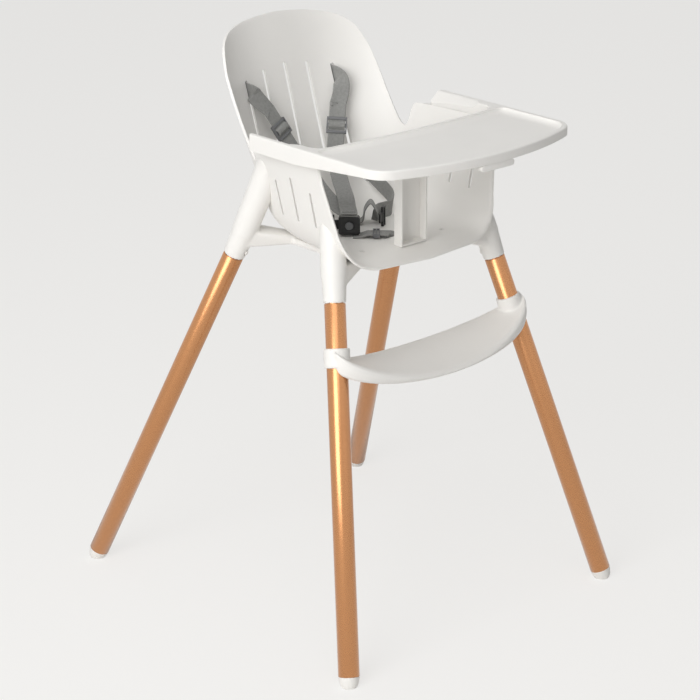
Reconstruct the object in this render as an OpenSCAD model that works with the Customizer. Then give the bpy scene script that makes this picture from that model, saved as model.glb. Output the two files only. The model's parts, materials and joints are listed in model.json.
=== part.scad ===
/* [Seat shell] */
// Height of the seat surface above the floor
seat_height = 605; // [560:1:660]
// Half the width of the bucket where its side walls meet the seat
seat_half_w = 149.5; // [140:0.5:170]
// Depth of the seat, from the front lip back to the foot of the backrest
seat_depth = 276; // [255:1:300]
// How far the front lip stands forward of the chair's centre
lip_reach = 190; // [180:1:205]
// Wall thickness of the moulded shell
shell_wall = 4; // [3:0.5:5]
// Height of the armrests above the seat
arm_rise = 163; // [150:1:175]
// Height of the top of the backrest above the seat
back_rise = 313; // [290:1:340]
// Outward lean of the side walls, as run over rise
side_lean = 0.22; // [0.15:0.01:0.28]
// Backward lean of the backrest, as run over rise
back_lean = 0.315; // [0.25:0.005:0.38]
// Radius of the bend between the seat and the walls
bend_r = 50; // [40:1:58]
// Half the width over the armrest flanges
flange_half_w = 195.5; // [194:0.5:197]
// Thickness of the armrest flanges
flange_t = 4; // [3:0.5:5]

/* [Slots] */
// Width of the vent slots in the back
back_vent_w = 6.5; // [5:0.1:6.9]
// Width of the vent slots in the sides, and of the slots for the waist and crotch webbing
vent_w = 4.5; // [3.5:0.1:5]
// Sideways spacing of the vent slots in the backrest
back_vent_pitch = 45.5; // [40:0.5:50]
// Height of the foot of the backrest slots above the seat
back_vent_foot = 84; // [75:1:100]
// Spacing of the vent slots in each side wall
side_vent_pitch = 43; // [36:1:48]
// Height of the foot of the side slots above the seat
side_vent_foot = 50; // [45:1:60]

/* [Legs] */
// Outer diameter of the leg tubes
leg_d = 33; // [30:0.5:35]
// Wall thickness of the leg tubes
leg_wall = 1.5; // [1.2:0.1:2]
// Diameter of the reduced upper end of a leg that plugs into its socket
neck_d = 29; // [27:0.5:29.5]
// Length of that reduced upper end
neck_l = 50; // [42:1:54]
// Sideways position of the front feet
front_foot_x = 282; // [270:1:300]
// Forward position of the front feet
front_foot_y = 311; // [300:1:320]
// Sideways position of the rear feet
rear_foot_x = 294.5; // [280:0.5:310]
// Backward position of the rear feet
rear_foot_y = 311; // [300:1:320]
// Height of the centre of each tube's lower end above the floor
tube_lift = 15; // [12:1:18]
// Diameter of the push button that locks a leg in its socket
leg_button_d = 8; // [6:0.5:10]
// Distance that a leg's button is pushed in
button_travel = 4; // [3:0.5:5]

/* [Footrest] */
// Height of the upper end of the footrest collars above the floor
footrest_height = 485; // [470:1:500]
// Length of the collars along the leg
collar_l = 30; // [26:1:34]
// Radial thickness of the collars
collar_wall = 3.5; // [2.5:0.5:5]
// How far the front edge of the footrest bulges ahead of the legs
footrest_bulge = 70; // [60:1:80]
// Thickness of the footrest platform
footrest_t = 9; // [7:1:12]

/* [Tray] */
// Half the width of the tray
tray_half_w = 206; // [205.5:0.5:208]
// How far the tray's front edge stands forward of the chair's centre
tray_reach = 328.5; // [320:0.5:335]
// Radius of the tray's bowed front edge
tray_front_r = 500; // [420:10:600]
// Radius of the tray's front corners
tray_corner_r = 45; // [35:1:55]
// How far the arms of the tray reach back behind the chair's centre
tray_arm_back = 5; // [0:1:10]
// Height of the rim's top above the armrests
tray_rise = 21; // [19:0.5:24]
// Depth of the dished tray surface below the rim
tray_dish = 7; // [5:0.5:8]
// Thickness of the tray floor
tray_floor_t = 3; // [2.5:0.1:4]
// Height of the rim at the front
tray_rim_h = 14; // [12:0.5:15]
// Width of the rim's top
tray_rim_w = 7; // [5:0.5:9]
// Width of each tray arm
tray_arm_w = 20; // [19:0.5:22]
// Thickness of the side skirts
skirt_t = 2; // [1.6:0.1:2]
// How far the tray slides forward on the armrests
tray_travel = 60; // [40:1:60]
// Width of the post between the child's legs
post_w = 54; // [40:1:60]
// Depth of the post from front to back
post_depth = 17; // [14:1:24]
// Wall thickness of the post
post_wall = 3; // [2.5:0.5:4]

/* [Tray release] */
// Width of the release paddle under the front edge
paddle_w = 68; // [56:1:80]
// Height of the release paddle
paddle_h = 10; // [8:0.5:12]
// Distance that the paddle is pulled forward
paddle_travel = 7; // [6:0.5:8]
// Distance that each latch bar moves outward for that pull
latch_travel = 4; // [3.5:0.1:4]
// Width of the latch bars
bar_w = 7; // [6:0.5:8]
// Thickness of the latch bars
bar_t = 3; // [2.5:0.1:3]

/* [Harness] */
// Width of the webbing
strap_w = 27; // [20:1:29]
// Thickness of the webbing
strap_t = 2; // [1.4:0.1:2.2]
// Distance that an adjuster slides along its shoulder strap
adjuster_travel = 18; // [10:1:19]
// Distance that the buckle's button is pressed
buckle_press = 2; // [1:0.5:2.5]

/* [Fits] */
// Gap between pieces that touch or slide
gap = 0.3; // [0.25:0.05:0.4]
// Radial gap round each leg neck in its socket
neck_gap = 0.25; // [0.2:0.05:0.4]
// Radial gap round a moving pin or button
pin_gap = 0.3; // [0.25:0.05:0.4]

/* [Hidden] */
$fn = 48;
eps = 0.01;

white = "#e9e6e1";
tube_finish = "#c4895c";
webbing = "#7c7b78";
dark_plastic = "#5f6062";
black_plastic = "#2b2b2b";
steel = "#b9bbbd";

// Heights that the other pieces share
arm_z = seat_height + arm_rise;
back_z = seat_height + back_rise;
rim_z = arm_z + tray_rise;
wall_foot_z = seat_height + bend_r;
dish_z = rim_z - tray_dish;
tray_under_z = dish_z - tray_floor_t;
rim_under_z = rim_z - tray_rim_h;

// ---------- Seat shell ----------
// Each level of the bucket is half a superellipse, open at the front
plan_power = 2 / 3;
back_foot_y = seat_depth - lip_reach;
side_front_y = -157;
side_front_lean = 0.19;
lean_stop = 245;

function half_w(z) = seat_half_w + side_lean * min(z - seat_height, lean_stop);
function front_y(z) = side_front_y + side_front_lean * (z - wall_foot_z);
function back_y(z) = back_foot_y + back_lean * (z - seat_height);
function level(a, w, yf, yb) = [
  w * sign(a) * pow(sin(abs(a)), plan_power),
  yf + (yb - yf) * pow(cos(a), plan_power)
];

// The seat rolls down over its last stretch towards the lip
roll_start = 50;
roll_drop = 19;
function roll(y) = roll_drop * pow(max(0, roll_start - lip_reach - y) / roll_start, 2);
function seat_point(p) = [p[0], p[1], seat_height - roll(p[1])];

// Height of the rim: backrest, shoulder, arm notch and armrest, by plan angle
notch_depth = 37;
rim_line = [
  [0, back_z], [15, back_z - 8], [25, back_z - 17], [31.4, back_z - 28], [35, back_z - 41],
  [40.6, back_z - 78], [44.8, back_z - 113], [48, back_z - 141], [51.6, arm_z - notch_depth + 19],
  [54, arm_z - notch_depth + 5], [56.4, arm_z - notch_depth], [58.4, arm_z - notch_depth + 9],
  [60, arm_z - 12], [61.6, arm_z - 2], [64, arm_z], [90, arm_z], [96, arm_z]
];

function slope_at(t, i) =
  let (a = max(i - 1, 0), b = min(i + 1, len(t) - 1))
  (t[b][1] - t[a][1]) / (t[b][0] - t[a][0]);
function curve(t, x, i = 0) =
  x > t[i + 1][0] && i < len(t) - 2 ? curve(t, x, i + 1) :
  let (
    h = t[i + 1][0] - t[i][0],
    u = (x - t[i][0]) / h,
    flat = t[i][1] == t[i + 1][1] ? 0 : 1
  )
  (2 * u ^ 3 - 3 * u ^ 2 + 1) * t[i][1] + (u ^ 3 - 2 * u ^ 2 + u) * h * slope_at(t, i) * flat
  + (3 * u ^ 2 - 2 * u ^ 3) * t[i + 1][1] + (u ^ 3 - u ^ 2) * h * slope_at(t, i + 1) * flat;
function rim_height(a) = curve(rim_line, abs(a));

lip_corner_back = 14;
lip_floor_back = 6;
function floor_edge(a) =
  seat_point(level(a, seat_half_w - bend_r, lip_floor_back - lip_reach, back_foot_y - bend_r));
function bend_corner(a) = seat_point(level(a, seat_half_w, lip_corner_back - lip_reach, back_foot_y));
function wall_point(a, z) =
  let (p = level(a, half_w(z), front_y(z), back_y(z)))
  [p[0], p[1], z];

floor_rows = 4;
bend_rows = 5;
wall_rows = 8;
side_columns = 30;
lip_middle = seat_point([0, -lip_reach]);
function floor_row(a, k) =
  let (p = lip_middle + k * (floor_edge(a) - lip_middle))
  seat_point([p[0], p[1]]);
function bend_row(a, t) =
  (1 - t) ^ 2 * floor_edge(a) + 2 * t * (1 - t) * bend_corner(a) + t ^ 2 * wall_point(a, wall_foot_z);
function wall_row(a, t) = wall_point(a, wall_foot_z + t * (rim_height(a) - wall_foot_z));
function shell_row(a, r) =
  r <= floor_rows ? floor_row(a, r / floor_rows) :
  r <= floor_rows + bend_rows ? bend_row(a, (r - floor_rows) / bend_rows) :
  wall_row(a, (r - floor_rows - bend_rows) / wall_rows);

rows = floor_rows + bend_rows + wall_rows;
columns = 2 * side_columns;
inner_skin = [for (r = [1:rows]) [for (c = [0:columns]) shell_row(90 * (c / side_columns - 1), r)]];

function unit(v) = v / norm(v);
function skin_normal(g, r, c) =
  let (
    r0 = max(r - 1, 0), r1 = min(r + 1, len(g) - 1),
    c0 = max(c - 1, 0), c1 = min(c + 1, len(g[0]) - 1)
  )
  unit(cross(g[r1][c] - g[r0][c], g[r][c1] - g[r][c0]));
function outer_skin(t) = [
  for (r = [0:len(inner_skin) - 1])
    [for (c = [0:columns]) inner_skin[r][c] + t * skin_normal(inner_skin, r, c)]
];
lip_middle_out = [0, -lip_reach - 1, lip_middle[2] - shell_wall];

// A polyhedron's faces have to run clockwise, seen from outside
function clockwise(faces) = [for (f = faces) [for (i = [len(f) - 1:-1:0]) f[i]]];

module bucket() {
  n = columns + 1;
  m = rows * n;
  outer = outer_skin(shell_wall);
  points = concat(
    [for (row = inner_skin) each row],
    [for (row = outer) each row],
    [lip_middle, lip_middle_out]
  );
  tip_in = 2 * m;
  tip_out = tip_in + 1;
  inside = [for (r = [0:rows - 2]) for (c = [0:columns - 1]) let (k = r * n + c)
    each [[k, k + 1, k + n + 1], [k, k + n + 1, k + n]]];
  outside = [for (f = inside) [f[2] + m, f[1] + m, f[0] + m]];
  fans = [for (c = [0:columns - 1]) each [[tip_in, c + 1, c], [tip_out, c + m, c + 1 + m]]];
  top = [for (c = [0:columns - 1]) let (k = (rows - 1) * n + c)
    each [[k, k + 1, k + 1 + m], [k, k + 1 + m, k + m]]];
  left = [for (r = [0:rows - 2]) let (k = r * n)
    each [[k, k + n, k + n + m], [k, k + n + m, k + m]]];
  right = [for (r = [0:rows - 2]) let (k = r * n + columns)
    each [[k + n, k, k + m], [k + n, k + m, k + n + m]]];
  lip = [
    [tip_in, 0, m], [tip_in, m, tip_out],
    [columns, tip_in, tip_out], [columns, tip_out, columns + m]
  ];
  polyhedron(points, clockwise(concat(inside, outside, fans, top, left, right, lip)));
}

// A slot with round ends, cut along Y, upright in the XZ plane
module upright_slot(x, z0, z1, w, y0, y1) {
  translate([x, y1, 0]) rotate([90, 0, 0]) linear_extrude(y1 - y0) {
    translate([-w / 2, z0 + w / 2]) square([w, z1 - z0 - w]);
    for (z = [z0 + w / 2, z1 - w / 2]) translate([0, z]) circle(d = w);
  }
}

back_vent_tops = [235, 230, 221];
side_vent_tops = [110, 124, 108];
side_vent_first_y = -20;
waist_slot_x = 100;
waist_slot_z = [34, 66];
waist_z = seat_height + 50;
crotch_slot_y = -96;
crotch_slot_l = strap_w + 3;

module vents() {
  for (s = [-1, 1], i = [0:2])
    if (i > 0 || s > 0)
      upright_slot(s * i * back_vent_pitch, seat_height + back_vent_foot,
                   seat_height + back_vent_tops[i], back_vent_w, back_foot_y + 5, back_y(back_z) + 10);
  for (s = [-1, 1], i = [0:2])
    translate([s * seat_half_w, side_vent_first_y - i * side_vent_pitch, 0]) rotate([0, 0, 90])
      upright_slot(0, seat_height + side_vent_foot, seat_height + side_vent_tops[i], vent_w,
                   s > 0 ? -60 : -10, s > 0 ? 10 : 60);
  for (s = [-1, 1])
    upright_slot(s * waist_slot_x, seat_height + waist_slot_z[0], seat_height + waist_slot_z[1],
                 vent_w, 0, back_y(back_z));
  translate([-crotch_slot_l / 2, crotch_slot_y - vent_w / 2, seat_height - 2 * shell_wall])
    cube([crotch_slot_l, vent_w, 4 * shell_wall]);
}

// Flange along the top of one armrest, for the tray to rest on
flange_top = arm_z - 0.5;
flange_back_y = 22;
module flange(side) {
  edge = [
    for (a = [90:-4:62])
      level(a, half_w(flange_top) + shell_wall / 2, front_y(flange_top), back_y(flange_top))
  ];
  back_x = edge[len(edge) - 1][0];
  mirror([side < 0 ? 1 : 0, 0, 0]) translate([0, 0, flange_top - flange_t]) linear_extrude(flange_t)
    polygon(concat(edge, [
      [back_x + 6, flange_back_y + 6], [flange_half_w - 8, flange_back_y + 6],
      [flange_half_w, flange_back_y - 6], [flange_half_w, front_y(flange_top) + 6],
      [flange_half_w - 2, front_y(flange_top)]
    ]));
}

module seat_shell() color(white) difference() {
  union() {
    bucket();
    flange(-1);
    flange(1);
  }
  vents();
  for (p = screw_places) translate([p[0], p[1], seat_height - 20])
    cylinder(d = screw_hole_d, h = 20 + shell_wall);
  for (p = screw_places) translate([p[0], p[1], seat_height - screw_sink])
    cylinder(d = screw_head_d + 2 * gap, h = 3 * shell_wall);
}

// ---------- Legs ----------
front_neck = [seat_half_w + 22, -(lip_reach - 34), seat_height - 56];
rear_neck = [seat_half_w + 30, seat_depth - lip_reach - 10.5, seat_height - 32];
front_foot = [front_foot_x, -front_foot_y, tube_lift];
rear_foot = [rear_foot_x, rear_foot_y, tube_lift];
neck_r = neck_d / 2;
socket_bore_r = neck_r + neck_gap;
socket_l = neck_l + 6;
socket_r = leg_d / 2 + 0.8;
socket_flare = 3;
button_reach = 14;
button_proud = 1.5;
button_rim = 2;
clip_t = 0.8;
clip_l = 26;

function mirrored(p, side) = [side * p[0], p[1], p[2]];

// Puts children on the axis from a to b, with Z along it and zero at a
module on_axis(a, b) {
  d = b - a;
  translate(a) rotate([0, acos(d[2] / norm(d)), atan2(d[1], d[0])]) children();
}

module ring(r_out, r_in, h) difference() {
  cylinder(r = r_out, h = h);
  translate([0, 0, -1]) cylinder(r = r_in, h = h + 2);
}

module leg(foot, neck, side) color(tube_finish) {
  l = norm(neck - foot);
  r = leg_d / 2;
  on_axis(mirrored(foot, side), mirrored(neck, side)) difference() {
    rotate_extrude() polygon([
      [r - leg_wall, 0], [r, 0], [r, l - 0.5], [r - 0.5, l], [neck_r, l], [neck_r, l + neck_l - 1],
      [neck_r - 1, l + neck_l], [neck_r - leg_wall, l + neck_l], [neck_r - leg_wall, l - leg_wall],
      [r - leg_wall, l - 2 * leg_wall]
    ]);
    button_bore(l);
  }
}

// The buttons look inward, under the seat: the bore runs from the leg's middle out through that wall
module button_bore(l) translate([0, 0, l + button_reach]) rotate([0, 90, 0])
  cylinder(d = leg_button_d + 2 * pin_gap, h = socket_r + socket_flare + 10);

// A push button on the end of a springy clip that lies along the inside of the leg
module leg_button(foot, neck, side) color(steel) {
  r = leg_button_d / 2;
  seat = neck_r - leg_wall - button_travel;
  out = socket_r + socket_flare * button_reach / socket_l + button_proud;
  on_axis(mirrored(foot, side), mirrored(neck, side)) translate([0, 0, norm(neck - foot) + button_reach]) {
    rotate([0, 90, 0]) rotate_extrude() polygon([
      [0, seat], [r + button_rim, seat], [r + button_rim, seat + 1], [r, seat + 1],
      [r, out - 1], [r - 1, out], [0, out]
    ]);
    translate([seat - clip_t + 0.1, -r, -r - button_rim]) cube([clip_t, leg_button_d, clip_l]);
  }
}

cap_plug_l = 14;
module foot_cap(foot, neck, side) color(white) {
  r = leg_d / 2;
  difference() {
    on_axis(mirrored(foot, side), mirrored(neck, side)) rotate([0, 0, 20 * side]) rotate_extrude() polygon([
      [0, -21], [6, -20.5], [10.5, -18], [13.6, -13], [r - 1.2, -6], [r - 0.3, -1.2], [r - 0.8, -gap],
      [r - leg_wall - gap, -gap], [r - leg_wall - gap, cap_plug_l - 1.5],
      [r - leg_wall - gap - 1.5, cap_plug_l], [0, cap_plug_l]
    ]);
    translate([side * foot[0], foot[1], -50]) cube([120, 120, 100], center = true);
  }
}

// ---------- Leg frame under the seat ----------
frame_top = seat_height - shell_wall - gap;
frame_t = 11;
frame_half_w = 112;
frame_front_y = -138;
frame_back_y = 40;
frame_window = [66, -108, 6];
frame_arm_w = 16;
screw_d = 4;
screw_hole_d = 4.6;
screw_head_d = 9;
screw_sink = 2.6;
screw_l = 15;
screw_places = [
  for (s = [-1, 1], y = [frame_front_y + 16, (frame_front_y + frame_back_y) / 2 - 4, frame_back_y - 40])
    [s * (frame_half_w - 27), y]
];

module socket(foot, neck, side) {
  l = norm(neck - foot);
  on_axis(mirrored(foot, side), mirrored(neck, side)) translate([0, 0, l + gap])
    cylinder(r1 = socket_r, r2 = socket_r + socket_flare, h = socket_l);
}

module socket_bore(foot, neck, side) {
  l = norm(neck - foot);
  on_axis(mirrored(foot, side), mirrored(neck, side)) {
    translate([0, 0, l - 5]) cylinder(r = socket_bore_r, h = neck_l + 6);
    button_bore(l);
  }
}

// A point on the leg's axis, a distance t above the neck
function above_neck(foot, neck, t) = neck + t * unit(neck - foot);

// The arm that ties one socket to the plate
module frame_arm(foot, neck, side, corner) hull() {
  on_axis(mirrored(foot, side), mirrored(neck, side)) translate([0, 0, norm(neck - foot) + socket_l - 30])
    cylinder(r = socket_r, h = 26, $fn = 32);
  translate([side * (corner[0] - frame_arm_w), corner[1], frame_top - frame_t])
    cylinder(r = frame_arm_w, h = frame_t, $fn = 32);
}

// The solid that fills the bucket, with a little room, so that the frame stays clear of it
module bucket_room() {
  n = columns + 1;
  outer = outer_skin(shell_wall + gap);
  lid = seat_height + 400;
  points = concat([for (row = outer) each row], [
    [0, -lip_reach - 2, lip_middle[2] - shell_wall - gap],
    [0, -lip_reach - 130, lid]
  ]);
  tip = rows * n;
  roof = tip + 1;
  skin = [for (r = [0:rows - 2]) for (c = [0:columns - 1]) let (k = r * n + c)
    each [[k + n + 1, k + 1, k], [k + n, k + n + 1, k]]];
  fan = [for (c = [0:columns - 1]) [tip, c, c + 1]];
  top = [for (c = [0:columns - 1]) let (k = (rows - 1) * n + c) [k + 1, k, roof]];
  left = [for (r = [0:rows - 2]) let (k = r * n) [k + n, k, roof]];
  right = [for (r = [0:rows - 2]) let (k = r * n + columns) [k, k + n, roof]];
  front = [[0, tip, roof], [tip, columns, roof]];
  polyhedron(points, clockwise(concat(skin, fan, top, left, right, front)));
}

front_horn_l = 34;
rear_horn_l = 96;
module horn(foot, neck, side, l) {
  on_axis(mirrored(foot, side), mirrored(neck, side)) translate([0, 0, norm(neck - foot) + socket_l - 4])
    cylinder(r1 = socket_r + socket_flare - 0.3, r2 = socket_r - 5, h = l);
}

module leg_frame() color(white) difference() {
  union() {
    translate([0, 0, frame_top - frame_t]) difference() {
      linear_extrude(frame_t) polygon([
        [-frame_half_w + 12, frame_front_y], [frame_half_w - 12, frame_front_y],
        [frame_half_w, frame_front_y + 12], [frame_half_w, frame_back_y - 12],
        [frame_half_w - 12, frame_back_y], [-frame_half_w + 12, frame_back_y],
        [-frame_half_w, frame_back_y - 12], [-frame_half_w, frame_front_y + 12]
      ]);
      translate([-frame_window[0], frame_window[1], -1])
        cube([2 * frame_window[0], frame_window[2] - frame_window[1], frame_t + 2]);
    }
    for (s = [-1, 1]) {
      socket(front_foot, front_neck, s);
      socket(rear_foot, rear_neck, s);
      frame_arm(front_foot, front_neck, s, [frame_half_w, frame_front_y + 18]);
      frame_arm(rear_foot, rear_neck, s, [frame_half_w, frame_back_y - 18]);
      horn(front_foot, front_neck, s, front_horn_l);
      horn(rear_foot, rear_neck, s, rear_horn_l);
    }
  }
  bucket_room();
  for (s = [-1, 1]) {
    socket_bore(front_foot, front_neck, s);
    socket_bore(rear_foot, rear_neck, s);
  }
  for (p = screw_places) translate([p[0], p[1], frame_top - frame_t - 1])
    cylinder(d = screw_d + 0.1, h = frame_t + 2);
}

module screw(head_d, head_h, shank_l) {
  difference() {
    translate([0, 0, -head_h]) cylinder(d = head_d, h = head_h);
    translate([0, 0, -1.4]) cylinder(d = head_d / 2.2, h = 2, $fn = 6);
  }
  translate([0, 0, -shank_l]) cylinder(d = screw_d, h = shank_l - head_h + eps);
}

module frame_screws() color(steel)
  for (p = screw_places) translate([p[0], p[1], seat_height - 0.4]) screw(screw_head_d, 2, screw_l);

// ---------- Footrest ----------
front_axis = unit(front_neck - front_foot);
function on_front_leg(z) = front_foot + front_axis * ((z - tube_lift) / front_axis[2]);
collar_top = on_front_leg(footrest_height);
collar_r = leg_d / 2 + gap + collar_wall;
collar_mid = collar_top - front_axis * collar_l / 2;
footrest_slices = 32;
footrest_at = collar_top - front_axis * 20;
footrest_overlap = 14;

// One slice of the platform, which hangs from the collars and wraps round the front of the legs
function slice(turn) =
  let (
    u = sin(turn),
    k = cos(turn) ^ 2,
    x = u * (footrest_at[0] + footrest_overlap),
    back = footrest_at[1] + 4 + 34 * pow(k, 0.6),
    front = footrest_at[1] - 10 - (footrest_bulge - 10) * pow(k, 0.45),
    middle = (back + front) / 2,
    top = footrest_at[2] + 22 - 46 * pow(k, 0.5),
    ridge = footrest_at[2] + 21 - 60 * pow(k, 0.75),
    low = footrest_at[2] - 10 - 38 * pow(k, 0.6),
    mid_top = (top + ridge) / 2,
    s = min(1, (back - front) / 50),
    t = footrest_t
  )
  [
    [x, back, top - t], [x, back, top - 3], [x, back - 2 * s, top - 0.5], [x, back - 6 * s, top],
    [x, middle, mid_top], [x, front + 8 * s, ridge + 1], [x, front + 2 * s, ridge - 3],
    [x, front, (ridge + low) / 2], [x, front + 2 * s, low + 3], [x, front + 7 * s, low],
    [x, front + 12 * s, low + 2], [x, front + 14 * s, ridge + 3 - t], [x, middle, mid_top - t]
  ];

module platform() {
  slices = [for (i = [0:footrest_slices]) slice(180 * i / footrest_slices - 90)];
  n = len(slices[0]);
  last = footrest_slices * n;
  polyhedron(
    [for (s = slices) each s],
    clockwise(concat(
      [for (i = [0:footrest_slices - 1], j = [0:n - 1]) let (k = i * n + j, k1 = i * n + (j + 1) % n)
        each [[k, k1, k1 + n], [k, k1 + n, k + n]]],
      [[for (j = [n - 1:-1:0]) j], [for (j = [0:n - 1]) last + j]]
    ))
  );
}

module footrest() color(white) difference() {
  union() {
    platform();
    for (s = [-1, 1])
      on_axis(mirrored(collar_top, s), mirrored(collar_top - front_axis, s))
        cylinder(r = collar_r, h = collar_l);
  }
  for (s = [-1, 1]) {
    on_axis(mirrored(collar_top + front_axis * 20, s), mirrored(collar_top, s))
      cylinder(r = leg_d / 2 + gap, h = collar_l + 40);
    footrest_screw_place(s) cylinder(d = screw_d + 0.2, h = 30);
  }
}

// The screws go in from behind, square to the leg
screw_way = unit(cross(cross(front_axis, [0, 1, 0]), front_axis));
module footrest_screw_place(side)
  on_axis(mirrored(collar_mid, side), mirrored(collar_mid + screw_way, side)) children();

module footrest_screws() color(steel)
  for (s = [-1, 1]) footrest_screw_place(s) {
    translate([0, 0, leg_d / 2 + 0.1]) cylinder(d = screw_d, h = collar_wall + 2);
    translate([0, 0, collar_r + 0.3]) cylinder(d = 7, h = 2.4);
  }

// ---------- Tray ----------
function arc(cx, cy, r, a0, a1, n) = [
  for (i = [0:n])
    let (a = a0 + (a1 - a0) * i / n)
    [cx + r * cos(a), cy + r * sin(a)]
];
function tail(p) = [for (i = [1:len(p) - 1]) p[i]];
function flip(p) = [for (i = [len(p) - 1:-1:0]) [-p[i][0], p[i][1]]];
belly_y = -133;
belly_sag = 9;
arm_corner_r = 7;

// The tray's outline, shrunk by d: corner, bowed front, the same mirrored, and the child's side
bow_y = tray_front_r - tray_reach;
corner_x = tray_half_w - tray_corner_r;
corner_y = bow_y - sqrt((tray_front_r - tray_corner_r) ^ 2 - corner_x ^ 2);
corner_turn = atan2(corner_y - bow_y, corner_x);
function tray_corner(d) = arc(corner_x, corner_y, tray_corner_r - d, 0, corner_turn, 8);
function tray_front(d) = arc(0, bow_y, tray_front_r - d, corner_turn, -180 - corner_turn, 16);
function belly(d) =
  let (w = tray_half_w - tray_arm_w - d, r = (w ^ 2 + belly_sag ^ 2) / (2 * belly_sag), a = asin(w / r))
  [for (i = [0:8]) let (t = a * (i / 4 - 1)) [r * sin(t), belly_y - belly_sag + r - r * cos(t) - d]];
function main_outline(d) = concat(
  [[tray_half_w - d, belly_y - d]], tray_corner(d), tail(tray_front(d)), tail(flip(tray_corner(d))),
  [[-tray_half_w + d, belly_y - d]], belly(d)
);

module tray_arm_plan(x0, x1) {
  y1 = tray_arm_back;
  polygon(concat(
    [[x0, belly_y - 4], [x1, belly_y - 4]],
    arc(x1 - arm_corner_r, y1 - arm_corner_r, arm_corner_r, 0, 90, 6),
    [[x0 + 3, y1], [x0, y1 - 3]]
  ));
}

skirt_low = 5;
skirt_inset = 0.2;
skirt_step_y = -105;
arm_plate_t = 4;
arm_wall = 3;
module skirt(side) {
  x = side > 0 ? tray_half_w - skirt_t - skirt_inset : -tray_half_w + skirt_inset;
  translate([x, 0, 0]) rotate([90, 0, 90]) linear_extrude(skirt_t) polygon([
    [tray_arm_back - arm_corner_r, rim_z - 1], [tray_arm_back - arm_corner_r, arm_z - skirt_low],
    [skirt_step_y, arm_z - skirt_low], [corner_y, rim_under_z + 0.1], [corner_y, rim_z - 1]
  ]);
}

// Lugs that carry a latch bar below the tray floor
bar_z = rim_under_z + 0.3;
bar_y = -250;
bar_inner_x = 30;
bar_side_x = tray_half_w - skirt_inset - skirt_t - latch_travel - 1.8;
lug_places = [70, 140];
module bar_lug(x) {
  difference() {
    translate([x - 4, bar_y - gap - 3, bar_z - gap - 2])
      cube([8, bar_w + 2 * gap + 6, tray_under_z - bar_z + gap + 3]);
    translate([x - 5, bar_y - gap, bar_z - gap]) cube([10, bar_w + 2 * gap, bar_t + 2 * gap]);
  }
}

// Hollow boss under the floor for a screw that holds the post
module post_boss(x) {
  translate([x, post_screw_y, rim_under_z]) ring(5, screw_d / 2 + 0.05, tray_under_z - rim_under_z + 1);
}

module tray_arm(side) mirror([side < 0 ? 1 : 0, 0, 0]) {
  x0 = tray_half_w - tray_arm_w;
  translate([0, 0, rim_z - arm_plate_t]) linear_extrude(arm_plate_t) tray_arm_plan(x0, tray_half_w);
  translate([x0, belly_y - 1, arm_z + gap])
    cube([arm_wall, tray_arm_back - belly_y - 2, rim_z - arm_z - gap - 1]);
  translate([x0 + 1, tray_arm_back - arm_wall - 1, arm_z + gap])
    cube([tray_arm_w - arm_corner_r, arm_wall, rim_z - arm_z - gap - 1]);
}

module tray() color(white) {
  difference() {
    union() {
      translate([0, 0, rim_under_z]) linear_extrude(tray_rim_h) polygon(main_outline(0));
      tray_arm(-1);
      tray_arm(1);
    }
    translate([0, 0, dish_z]) linear_extrude(tray_rim_h) polygon(main_outline(tray_rim_w));
    translate([0, 0, rim_under_z - 1]) linear_extrude(tray_under_z - rim_under_z + 1)
      polygon(main_outline(skirt_t));
    for (x = [tray_half_w - tray_arm_w + arm_wall, skirt_t - tray_half_w])
      translate([x, belly_y - 6, rim_under_z - 1])
        cube([tray_arm_w - arm_wall - skirt_t, 12, rim_z - arm_plate_t - rim_under_z + 1]);
  }
  skirt(-1);
  skirt(1);
  for (s = [-1, 1], x = lug_places) bar_lug(s * x);
  for (x = post_screw_x) post_boss(x);
  translate([0, spring_anchor_y, spring_z - 2]) cylinder(d = spring_pin_d, h = tray_under_z - spring_z + 2.5);
}

// ---------- Post under the tray ----------
post_front_y = -149;
post_screw_x = [-12, 12];
post_screw_y = post_front_y - 12;
post_foot = seat_height + 0.5;
post_top = rim_under_z - gap;
post_lip = 24;
module tray_post() color(white) difference() {
  union() {
    for (s = [-1, 1]) translate([s > 0 ? post_w / 2 - post_wall : -post_w / 2, post_front_y, post_foot])
      cube([post_wall, post_depth, post_top - post_foot]);
    translate([-post_w / 2, post_front_y + post_depth - post_wall, post_foot])
      cube([post_w, post_wall, post_top - post_foot]);
    translate([-post_w / 2, post_front_y - post_lip, post_top - 4]) cube([post_w, post_lip + post_depth, 4]);
    translate([-post_w / 2, post_front_y + 1, post_foot]) cube([post_w, post_depth - 1, 3]);
  }
  for (x = post_screw_x) translate([x, post_screw_y, post_top - 10]) cylinder(d = screw_d + 0.1, h = 20);
}

module tray_post_screws() color(steel)
  for (x = post_screw_x) translate([x, post_screw_y, post_top - 4 - 0.1]) {
    translate([0, 0, -2.2]) cylinder(d = 8, h = 2.2);
    cylinder(d = screw_d, h = 6.5);
  }

// ---------- Tray release ----------
cam_pin_d = 5;
cam_pin_x = 36;
cam_pin_y = bar_y + bar_w / 2;
cam_plate_t = 3;
cam_plate_z = bar_z - gap - cam_plate_t;
cam_plate_w = 2 * cam_pin_x + 24;
cam_plate_l = 24;
stem_w = 44;
paddle_deep = 9;
paddle_inset = 0.8;
paddle_top = rim_under_z - gap;
// The return spring is hooked over a pin below the stem and a pin below the tray
spring_r = 2.6;
spring_wire = 1.2;
spring_pin_d = 3;
spring_pin_y = bar_y + cam_plate_l + 6;
spring_coil_y = spring_pin_y + 6;
spring_coil_l = 16;
spring_anchor_y = spring_coil_y + spring_coil_l + 4;
spring_z = cam_plate_z - 3;

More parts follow.
